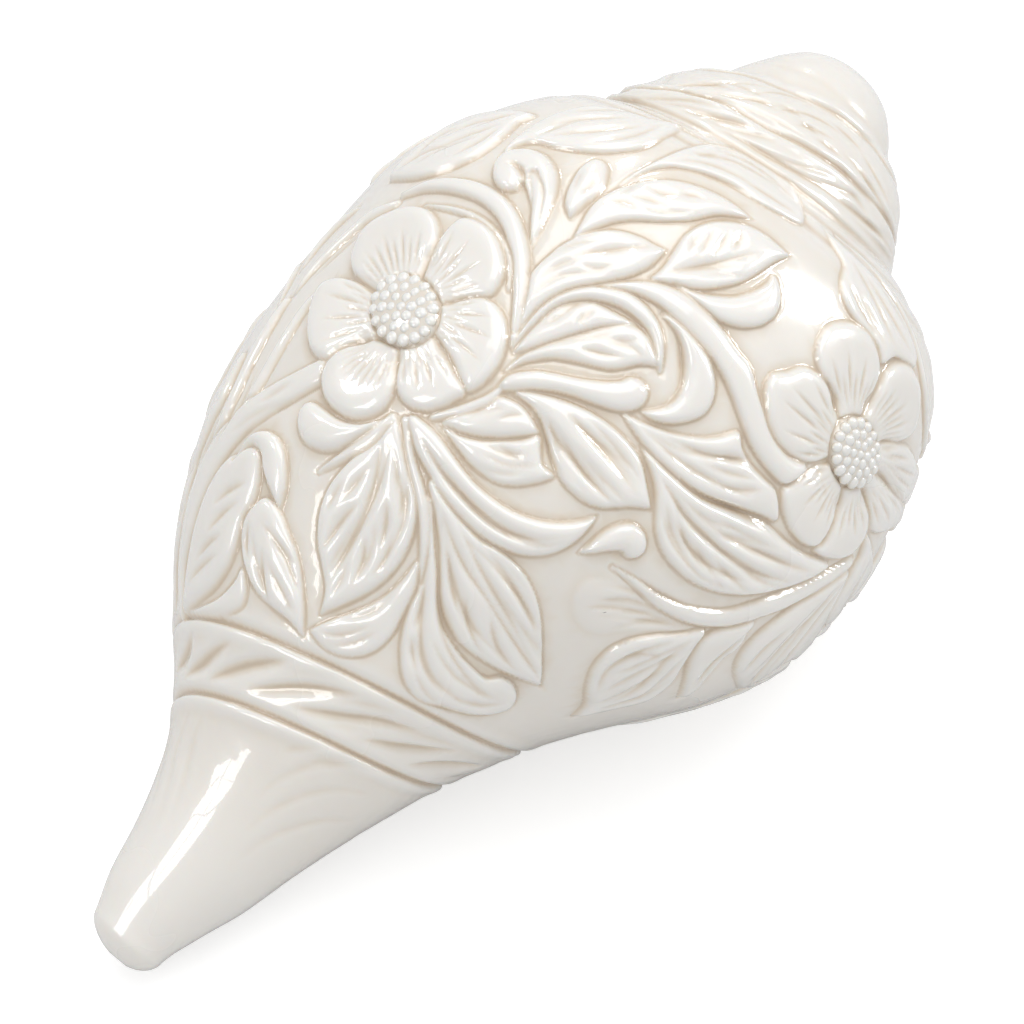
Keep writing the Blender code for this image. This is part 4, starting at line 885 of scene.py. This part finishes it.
def grid_mesh(name, points):
    """A closed mesh through rings of points, with a point over each end."""
    rings, count = points.shape[:2]
    corners = np.concatenate([points.reshape(-1, 3), [points[0].mean(0)], [points[-1].mean(0)]]) * MM
    ring, spot = np.meshgrid(np.arange(rings - 1), np.arange(count), indexing="ij")
    after = (spot + 1) % count
    quads = np.stack([ring * count + spot, ring * count + after, (ring + 1) * count + after,
                      (ring + 1) * count + spot], -1).reshape(-1, 4)
    edge = np.arange(count)
    last = (rings - 1) * count
    tips = np.concatenate([
        np.stack([(edge + 1) % count, edge, np.full(count, rings * count)], -1),
        np.stack([last + edge, last + (edge + 1) % count, np.full(count, rings * count + 1)], -1)])
    mesh = bpy.data.meshes.new(name)
    mesh.vertices.add(len(corners))
    mesh.vertices.foreach_set("co", corners.ravel())
    mesh.loops.add(quads.size + tips.size)
    mesh.loops.foreach_set("vertex_index", np.concatenate([quads.ravel(), tips.ravel()]))
    starts = np.concatenate([np.arange(len(quads)) * 4, quads.size + np.arange(len(tips)) * 3])
    mesh.polygons.add(len(starts))
    mesh.polygons.foreach_set("loop_start", starts)
    mesh.update(calc_edges=True)
    return mesh


def add_object(name, mesh):
    """A new object in the scene with this mesh."""
    thing = bpy.data.objects.new(name, mesh)
    bpy.context.scene.collection.objects.link(thing)
    return thing


def baked(thing, name):
    """The object's mesh as its modifiers leave it."""
    mesh = bpy.data.meshes.new_from_object(thing.evaluated_get(bpy.context.evaluated_depsgraph_get()))
    mesh.name = name
    return mesh


shell = add_object("carved_shell_skin", grid_mesh("carved_shell_skin", skin))
thinning = shell.modifiers.new("thinning", "DECIMATE")
thinning.ratio = (FACES * FINENESS) / (2 * ROWS * len(column_angles))
thinned = baked(shell, "carved_shell_skin")
shell.modifiers.clear()
shell.data = thinned

# columns: place along the axis, middle across it, half-width, and height of the mouth's roof
MOUTH = [(8, 1.6, 0.9, -3.4), (14, 2.0, 1.5, -3.4), (24, 2.6, 2.2, -3.0), (36, 4.4, 3.6, -2.6),
         (50, 7.6, 5.6, -5), (64, 10.6, 7.6, -8), (80, 12.6, 8.6, -11), (94, 13.8, 8.0, -14),
         (105, 14.6, 5.8, -18), (113, 15.2, 2.4, -24)]
MOUTH_REACH = 60.0
WALL = 4.6
COLUMELLA = 9.5
CHAMBER_TURNS = (163, 38)
CHAMBER_STARTS = (42, 66)
CHAMBER_ENDS = (111, 114)
CHAMBER_NARROWING = 0.9
mouth_table = np.array(MOUTH, float)
mouth_middle, mouth_half, mouth_roof = (curve(mouth_table[:, (0, k)]) for k in (1, 2, 3))


def mouth_rings():
    """An arched slot that widens along the shell's underside, from the canal to the shoulder."""
    arch = np.radians(np.linspace(0, 180, 17))
    rings = []
    for s in np.linspace(MOUTH[0][0], MOUTH[-1][0], 60):
        half = mouth_half(s)
        across = mouth_middle(s) + np.concatenate([half * np.cos(arch), [-half, half]])
        height = np.concatenate([half * (np.sin(arch) - 1) + mouth_roof(s), [-MOUTH_REACH, -MOUTH_REACH]])
        rings.append(AXIS_START + s * ALONG + across[:, None] * ACROSS + height[:, None] * UP)
    return np.array(rings)


def chamber_rings():
    """The hollow of the body whorl behind the lip, which narrows as it winds inwards."""
    loop = np.radians(np.arange(0, 360, 8))
    rings = []
    for inward in np.linspace(0, 1, 30):
        angle = CHAMBER_TURNS[0] + (CHAMBER_TURNS[1] - CHAMBER_TURNS[0]) * inward
        start, end = (low + (high - low) * inward for low, high in (CHAMBER_STARTS, CHAMBER_ENDS))
        s = (start + end) / 2 + (end - start) / 2 * np.cos(loop)
        outer = bare_radius(np.full_like(s, angle), s) - WALL
        middle, half = (outer + COLUMELLA) / 2, (outer - COLUMELLA) / 2
        narrowing = np.sqrt(1 - CHAMBER_NARROWING * inward**2)
        rings.append(place(np.full_like(s, angle), s, middle + half * np.sin(loop) * narrowing))
    return np.array(rings)


def outward(mesh):
    """Turn the faces of a closed mesh outwards."""
    body = bmesh.new()
    body.from_mesh(mesh)
    bmesh.ops.recalc_face_normals(body, faces=body.faces)
    body.to_mesh(mesh)
    body.free()


cutters = []
for name, rings in (("mouth", mouth_rings()), ("chamber", chamber_rings())):
    cutter = add_object(name, grid_mesh(name, rings))
    outward(cutter.data)
    cutters.append(cutter)
    cut = shell.modifiers.new(name, "BOOLEAN")
    cut.operation = "DIFFERENCE"
    cut.object = cutter
cut_mesh = baked(shell, "carved_shell_skin")
shell.modifiers.clear()
shell.data = cut_mesh
for cutter in cutters:
    bpy.data.objects.remove(cutter, do_unlink=True)
corners = np.empty(len(cut_mesh.vertices) * 3)
cut_mesh.vertices.foreach_get("co", corners)
corners = corners.reshape(-1, 3)
corners[:, 2] = np.maximum(corners[:, 2], 0)
cut_mesh.vertices.foreach_set("co", corners.ravel())
cut_mesh.update()
outward(cut_mesh)


# The polish: the carved wall is nearly white where it is thin and proud, and turns to warm beige where
# the gloss pools in the cuts. The same tone also carries painted shade in the cuts, at the feet of the forms
# and over the bosses, a darker tone on the low ground, and a painted highlight that lightens the crests.
# How deep it pools, and how much shade is painted, comes from how far a spot lies under the mean of the
# wall around it.
HOLLOW_TONE = 0.5
GROUND_FLAT_TONE = 0.14
POOL_AND_SHADE_TONES = [(0.0, (0.875, 0.855, 0.818)), (0.1, (0.85, 0.823, 0.777)), (0.28, (0.83, 0.78, 0.705)),
               (0.6, (0.76, 0.67, 0.55)), (1.0, (0.62, 0.49, 0.35))]
CLOUD = {"Scale": 28, "Detail": 3}
GRAIN = {"Scale": 420, "Detail": 2}
GLAZE = {"IOR": 1.5, "Coat Weight": 1.0, "Coat Roughness": 0.03, "Coat IOR": 1.6, "Subsurface Weight": 0.15,
         "Subsurface Radius": (0.0035, 0.002, 0.0011), "Subsurface Scale": 1.0}
relief = rise * calm
# Painted light in the tone, read from the relief: glaze pooling with painted shade in the cuts, painted shade
# at the feet of the forms, a darker tone on the low ground, and a painted highlight that lightens the crests.
low = ease(0.8, 0.05, smoothed(relief, 0.5)) * calm
foot_shade = np.clip((smoothed(relief, 1.0) - relief) / 0.5, 0, 1)
in_cuts = np.clip((smoothed(relief, 0.35) - relief) / 0.12, 0, 1)
crest_highlight = np.clip((relief - smoothed(relief, 0.8)) / 0.2, 0, 1)
# The tone at each point: pooling and painted shade, less the painted crest highlight, and at least the
# painted shadow over the bosses.
pool_shade_grid = np.maximum(0.1 + 0.08 * low + 0.3 * foot_shade + 0.42 * in_cuts - 0.1 * crest_highlight, 0.45 * boss_shadow)


def spots_of(points):
    """Angle, place along the axis and radius of points in millimetres."""
    offset = points - AXIS_START
    across, up = offset @ ACROSS, offset @ UP
    return np.degrees(np.arctan2(across, up)), offset @ ALONG, np.hypot(across, up)


def sample(values, angle, s):
    """A value on the wall, read between its points."""
    row = np.interp(s, row_places, np.arange(len(row_places)))
    column = np.interp(angle, column_angles, np.arange(len(column_angles)), period=360)
    i, j = np.minimum(row.astype(int), len(row_places) - 2), column.astype(int)
    u, v = row - i, column - j
    if values.ndim == 3:
        u, v = u[:, None], v[:, None]
    after = (j + 1) % len(column_angles)
    low = values[i, j] * (1 - v) + values[i, after] * v
    high = values[i + 1, j] * (1 - v) + values[i + 1, after] * v
    return low * (1 - u) + high * u


def skin_normals():
    """The outward direction of the full carving at each point of the wall."""
    along = np.gradient(skin, axis=0)
    around = np.roll(skin, -1, axis=1) - np.roll(skin, 1, axis=1)
    normal = np.cross(around, along)
    normal /= np.linalg.norm(normal, axis=-1)[..., None]
    outwards = (normal * (skin - AXIS_START - s_grid[..., None] * ALONG)).sum(-1).mean() > 0
    return normal if outwards else -normal


def dress_normals(mesh):
    """Give the carved faces the normals of the full carving; the cut walls keep their own."""
    points = np.empty(len(mesh.vertices) * 3)
    mesh.vertices.foreach_get("co", points)
    angle, s, radius = spots_of(points.reshape(-1, 3) / MM)
    carved = sample(skin_normals(), angle, s)
    on_skin = (np.abs(radius - sample(carved_radius, angle, s)) < 0.5) & (s > 1) & (s < LENGTH - 1)
    mesh.shade_smooth()
    own = np.empty(len(mesh.loops) * 3)
    mesh.corner_normals.foreach_get("vector", own)
    own = own.reshape(-1, 3)
    vertex = np.empty(len(mesh.loops), int)
    mesh.loops.foreach_get("vertex_index", vertex)
    sides = np.empty(len(mesh.polygons), int)
    mesh.polygons.foreach_get("loop_total", sides)
    facing = np.empty(len(mesh.polygons) * 3)
    mesh.polygons.foreach_get("normal", facing)
    facing = np.repeat(facing.reshape(-1, 3), sides, axis=0)
    wanted = carved[vertex]
    agrees = (wanted * facing).sum(1) > 0.45
    normals = np.where((on_skin[vertex] & agrees)[:, None], wanted, own)
    mesh.normals_split_custom_set(normals.tolist())
    return angle, s, on_skin


angle, s, on_skin = dress_normals(cut_mesh)
# Stored on the shell as an attribute: glaze pooling with painted shade and a painted crest highlight; the
# hollow's walls and the ground flats get fixed tones.
pooling_and_shade = cut_mesh.attributes.new("pooling_and_shade", "FLOAT", "POINT")
carved = on_skin | (s < 1) | (s > LENGTH - 1)
tones = np.where(carved, sample(pool_shade_grid, angle, s), HOLLOW_TONE)
tones[corners[:, 2] == 0] = GROUND_FLAT_TONE
pooling_and_shade.data.foreach_set("value", tones.astype(np.float32))


def set_inputs(node, values):
    """Set a node's own inputs by their names."""
    for name, value in values.items():
        node.inputs[name].default_value = value


def ivory():
    """Glossy ivory white: the tone follows the glaze pooling, painted shade and painted crest highlight
    stored on the mesh, and soft clouds vary the tone and the gloss.
    """
    material = bpy.data.materials.new("shell_gloss")
    material.use_nodes = True
    nodes, links = material.node_tree.nodes, material.node_tree.links
    shader = nodes["Principled BSDF"]
    spot = nodes.new("ShaderNodeTexCoord")
    cloud, grain = nodes.new("ShaderNodeTexNoise"), nodes.new("ShaderNodeTexNoise")
    for pattern, sizes in ((cloud, CLOUD), (grain, GRAIN)):
        set_inputs(pattern, sizes)
        links.new(spot.outputs["Object"], pattern.inputs["Vector"])
    # The attribute read here holds glaze pooling together with painted shade and a painted crest highlight.
    depth = nodes.new("ShaderNodeAttribute")
    depth.attribute_name = "pooling_and_shade"
    tone = nodes.new("ShaderNodeValToRGB")
    steps = tone.color_ramp.elements
    for share, _ in POOL_AND_SHADE_TONES[1:-1]:
        steps.new(share)
    for step, (_, colour) in zip(steps, POOL_AND_SHADE_TONES):
        step.color = (*colour, 1)
    links.new(depth.outputs["Fac"], tone.inputs["Fac"])
    mottled = nodes.new("ShaderNodeMix")
    mottled.data_type = "RGBA"
    mottled.blend_type = "MULTIPLY"
    set_inputs(mottled, {"Factor": 1.0})
    shade = nodes.new("ShaderNodeMapRange")
    set_inputs(shade, {"To Min": 0.95, "To Max": 1.03})
    links.new(cloud.outputs["Fac"], shade.inputs["Value"])
    links.new(tone.outputs["Color"], mottled.inputs["A"])
    links.new(shade.outputs["Result"], mottled.inputs["B"])
    links.new(mottled.outputs["Result"], shader.inputs["Base Color"])
    gloss = nodes.new("ShaderNodeMapRange")
    set_inputs(gloss, {"To Min": 0.2, "To Max": 0.34})
    links.new(cloud.outputs["Fac"], gloss.inputs["Value"])
    links.new(gloss.outputs["Result"], shader.inputs["Roughness"])
    ripple = nodes.new("ShaderNodeBump")
    set_inputs(ripple, {"Strength": 0.06, "Distance": 0.0002})
    links.new(grain.outputs["Fac"], ripple.inputs["Height"])
    links.new(ripple.outputs["Normal"], shader.inputs["Normal"])
    set_inputs(shader, GLAZE)
    return material


glaze = ivory()
cut_mesh.materials.clear()
cut_mesh.materials.append(glaze)
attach(shell, "root")
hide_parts("conch_shell")


# The beads: small round seeds, left standing in rings on each flower's boss and polished one by one. They
# are of the shell's own wall, sunk a little in the boss, and each is longest towards the petals.
BEAD_RINGS = [(16, 0.84, 0.82), (11, 0.56, 0.8), (6, 0.29, 0.76), (1, 0.0, 0.7)]
BEAD_SINK = 0.34
BEAD_HEIGHT = 0.78
BEAD_LENGTH = 1.08


def bead_seats(boss, turn_by):
    """Places, directions and sizes of the beads on one boss."""
    centre = boss.mean(0)
    places, outs, aways, sizes = [], [], [], []
    for number, (count, share, size) in enumerate(BEAD_RINGS):
        for k in range(count):
            corner = ((k + 0.5 * (number % 2)) / count * len(boss) + turn_by) % len(boss)
            after = (int(corner) + 1) % len(boss)
            on_rim = boss[int(corner)] + (boss[after] - boss[int(corner)]) * (corner - int(corner))
            spot = centre + (on_rim - centre) * share
            radius = sample(carved_radius, spot[:1], spot[1:]) - BEAD_SINK
            at, rim = place(spot[:1], spot[1:], radius)[0], on_wall(on_rim[None])[0]
            out = at - (AXIS_START + spot[1] * ALONG)
            places.append(at * MM)
            outs.append(out / np.linalg.norm(out))
            aways.append(rim - on_wall(centre[None])[0])
            sizes.append(size * MM * (1 + 0.08 * np.sin(5.3 * k + number)))
    return places, outs, aways, sizes


def bead_tree(material):
    """Seats in, beads out: a round seed on every seat, standing on the boss and a little longer outwards."""
    tree = bpy.data.node_groups.new("flower_beads", "GeometryNodeTree")
    for name, side, kind in (("Seats", "INPUT", "Geometry"), ("Height", "INPUT", "Float"),
                             ("Length", "INPUT", "Float"), ("Beads", "OUTPUT", "Geometry")):
        tree.interface.new_socket(name, in_out=side, socket_type="NodeSocket" + kind)
    new, link = tree.nodes.new, tree.links.new
    given, result = new("NodeGroupInput"), new("NodeGroupOutput")
    seed = new("GeometryNodeMeshIcoSphere")
    set_inputs(seed, {"Radius": 1.0, "Subdivisions": 3})
    where = new("GeometryNodeInputPosition")
    parts = new("ShaderNodeSeparateXYZ")
    link(where.outputs["Position"], parts.inputs["Vector"])
    # Painted shade: each bead is toned darker towards its foot on the boss and lighter on its top, in the
    # same attribute as the shell's pooling and shade.
    shade = new("ShaderNodeMapRange")
    set_inputs(shade, {"From Min": -0.2, "From Max": 0.7, "To Min": 0.55, "To Max": 0.05})
    link(parts.outputs["Z"], shade.inputs["Value"])
    keep = new("GeometryNodeStoreNamedAttribute")
    keep.data_type = "FLOAT"
    keep.domain = "POINT"
    keep.inputs["Name"].default_value = "pooling_and_shade"
    link(seed.outputs["Mesh"], keep.inputs["Geometry"])
    link(shade.outputs["Result"], keep.inputs["Value"])
    smooth = new("GeometryNodeSetShadeSmooth")
    link(keep.outputs["Geometry"], smooth.inputs["Geometry"])
    read = {}
    for name, kind in (("out", "FLOAT_VECTOR"), ("away", "FLOAT_VECTOR"), ("size", "FLOAT")):
        read[name] = new("GeometryNodeInputNamedAttribute")
        read[name].data_type = kind
        read[name].inputs["Name"].default_value = name
    upright = new("FunctionNodeAlignRotationToVector")
    upright.axis = "Z"
    link(read["out"].outputs["Attribute"], upright.inputs["Vector"])
    turned = new("FunctionNodeAlignRotationToVector")
    turned.axis = "X"
    turned.pivot_axis = "Z"
    link(upright.outputs["Rotation"], turned.inputs["Rotation"])
    link(read["away"].outputs["Attribute"], turned.inputs["Vector"])
    shape = new("ShaderNodeCombineXYZ")
    shape.inputs["Y"].default_value = 1.0
    link(given.outputs["Length"], shape.inputs["X"])
    link(given.outputs["Height"], shape.inputs["Z"])
    scale = new("ShaderNodeVectorMath")
    scale.operation = "SCALE"
    link(shape.outputs["Vector"], scale.inputs[0])
    link(read["size"].outputs["Attribute"], scale.inputs["Scale"])
    beads = new("GeometryNodeInstanceOnPoints")
    link(given.outputs["Seats"], beads.inputs["Points"])
    link(smooth.outputs["Geometry"], beads.inputs["Instance"])
    link(turned.outputs["Rotation"], beads.inputs["Rotation"])
    link(scale.outputs["Vector"], beads.inputs["Scale"])
    real = new("GeometryNodeRealizeInstances")
    link(beads.outputs["Instances"], real.inputs["Geometry"])
    dress = new("GeometryNodeSetMaterial")
    dress.inputs["Material"].default_value = material
    link(real.outputs["Geometry"], dress.inputs["Geometry"])
    link(dress.outputs["Geometry"], result.inputs["Beads"])
    return tree


seated = [bead_seats(boss, 0.7 * k) for k, boss in enumerate(bosses)]
places, outs, aways, sizes = (np.concatenate(column) for column in zip(*seated))
seat_mesh = bpy.data.meshes.new("flower_beads")
seat_mesh.from_pydata(places.tolist(), [], [])
for name, values in (("out", outs), ("away", aways), ("size", sizes)):
    kind, field = ("FLOAT", "value") if values.ndim == 1 else ("FLOAT_VECTOR", "vector")
    seat_mesh.attributes.new(name, kind, "POINT").data.foreach_set(field, np.ravel(values).astype(np.float32))
beads = add_object("flower_beads", seat_mesh)
setting = beads.modifiers.new("setting", "NODES")
tree = bead_tree(glaze)
sockets = {item.name: item.identifier for item in tree.interface.items_tree if item.in_out == "INPUT"}
setting.node_group = tree
setting[sockets["Height"]] = BEAD_HEIGHT
setting[sockets["Length"]] = BEAD_LENGTH
beads_mesh = baked(beads, "flower_beads")
beads.modifiers.clear()
beads.data = beads_mesh
outward(beads_mesh)
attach(beads, "root")
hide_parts("conch_shell")


# The ground that the shell lies on: a sheet of plain, pale, matt paper, a hair under the shell's flats.
# It is bleached to white only where it is seen, so that the shell still gets a floor's light and casts
# its shadow.
FLOOR_SIZE = 6
FLOOR_DROP = 0.00005
PAPER = {"Base Color": (0.72, 0.72, 0.72, 1), "Roughness": 1.0, "Specular IOR Level": 0.0,
         "Emission Color": (1, 1, 1, 1)}
FLOOR_BLEACH = 0.54


def floor_finish():
    material = bpy.data.materials.new("pale_ground")
    material.use_nodes = True
    shader = material.node_tree.nodes["Principled BSDF"]
    set_inputs(shader, PAPER)
    seen = material.node_tree.nodes.new("ShaderNodeLightPath")
    bleach = material.node_tree.nodes.new("ShaderNodeMath")
    bleach.operation = "MULTIPLY"
    bleach.inputs[1].default_value = FLOOR_BLEACH
    material.node_tree.links.new(seen.outputs["Is Camera Ray"], bleach.inputs[0])
    material.node_tree.links.new(bleach.outputs[0], shader.inputs["Emission Strength"])
    return material


bpy.ops.mesh.primitive_plane_add(size=FLOOR_SIZE, location=(0, 0, -FLOOR_DROP))
floor = bpy.context.object
floor.name = "pale_ground"
floor.data.materials.append(floor_finish())


# The light: a pale room, a broad soft light overhead, and four windows with bars between their panes,
# which show only in the gloss, where the shell mirrors them.
ROOM_LIGHT = 0.74
OVERHEAD_AT, OVERHEAD_SIZE, OVERHEAD_POWER = (0.42, 0.1, 1.3), 1.3, 9.2
WINDOW_DISTANCE = 1.2
WINDOWS = [("right_window", -33, 25, 0.34, 0.55, 7), ("left_window", 162, 36, 0.44, 0.5, 2.6),
           ("back_window", 116, 38, 0.16, 0.28, 1.6), ("far_window", 37, 31, 0.14, 0.22, 1.2)]
PANES_ACROSS, PANES_UP, BAR_SHARE = 2, 3, 0.08
world = bpy.context.scene.world or bpy.data.worlds.new("room")
bpy.context.scene.world = world
world.use_nodes = True
world.node_tree.nodes["Background"].inputs["Color"].default_value = (1, 1, 1, 1)
world.node_tree.nodes["Background"].inputs["Strength"].default_value = ROOM_LIGHT
bpy.context.scene.view_settings.view_transform = "Standard"


def add_light(name, at, toward, size, power, height=None):
    data = bpy.data.lights.new(name, "AREA")
    data.energy = power
    data.size = size
    if height:
        data.shape = "RECTANGLE"
        data.size_y = height
    light = bpy.data.objects.new(name, data)
    light.location = at
    light.rotation_euler = (Vector(toward) - Vector(at)).to_track_quat("-Z", "Y").to_euler()
    bpy.context.scene.collection.objects.link(light)
    return light


add_light("overhead", OVERHEAD_AT, (0, 0, 0.03), OVERHEAD_SIZE, OVERHEAD_POWER)


def add_window(name, azimuth, elevation, width, height, power):
    """Panes of light with bars between them, seen from the shell in this direction."""
    turn, lift = np.radians(azimuth), np.radians(elevation)
    outwards = np.array([np.cos(turn) * np.cos(lift), np.sin(turn) * np.cos(lift), np.sin(lift)])
    side = np.array([-np.sin(turn), np.cos(turn), 0])
    top = np.cross(outwards, side)
    pane_width, pane_height = width / PANES_ACROSS * (1 - BAR_SHARE), height / PANES_UP * (1 - BAR_SHARE)
    for i in range(PANES_ACROSS):
        for j in range(PANES_UP):
            x, y = ((i + 0.5) / PANES_ACROSS - 0.5) * width, ((j + 0.5) / PANES_UP - 0.5) * height
            at = WINDOW_DISTANCE * outwards + x * side + y * top
            pane_power = power / (PANES_ACROSS * PANES_UP)
            pane = add_light(f"{name}_{i}{j}", at, at - outwards, pane_width, pane_power, pane_height)
            pane.visible_diffuse = False
            pane.visible_camera = False


for window in WINDOWS:
    add_window(*window)


# The camera looks down on the shell's back at the slant of the drawing, so that each carved line lies
# where it was set out.
SENSOR_WIDTH = 36
FOCAL_SHARE = SQUARES_PER_MM * VIEW_DISTANCE / VIEW_SQUARES
camera_data = bpy.data.cameras.new("view")
camera_data.sensor_width = SENSOR_WIDTH
camera_data.lens = SENSOR_WIDTH * FOCAL_SHARE
camera_data.clip_end = 20
camera = bpy.data.objects.new("view", camera_data)
camera.location = VIEW_EYE * MM
camera.rotation_euler = Vector(-VIEW_BACK).to_track_quat("-Z", "Y").to_euler()
bpy.context.scene.collection.objects.link(camera)
bpy.context.scene.camera = camera
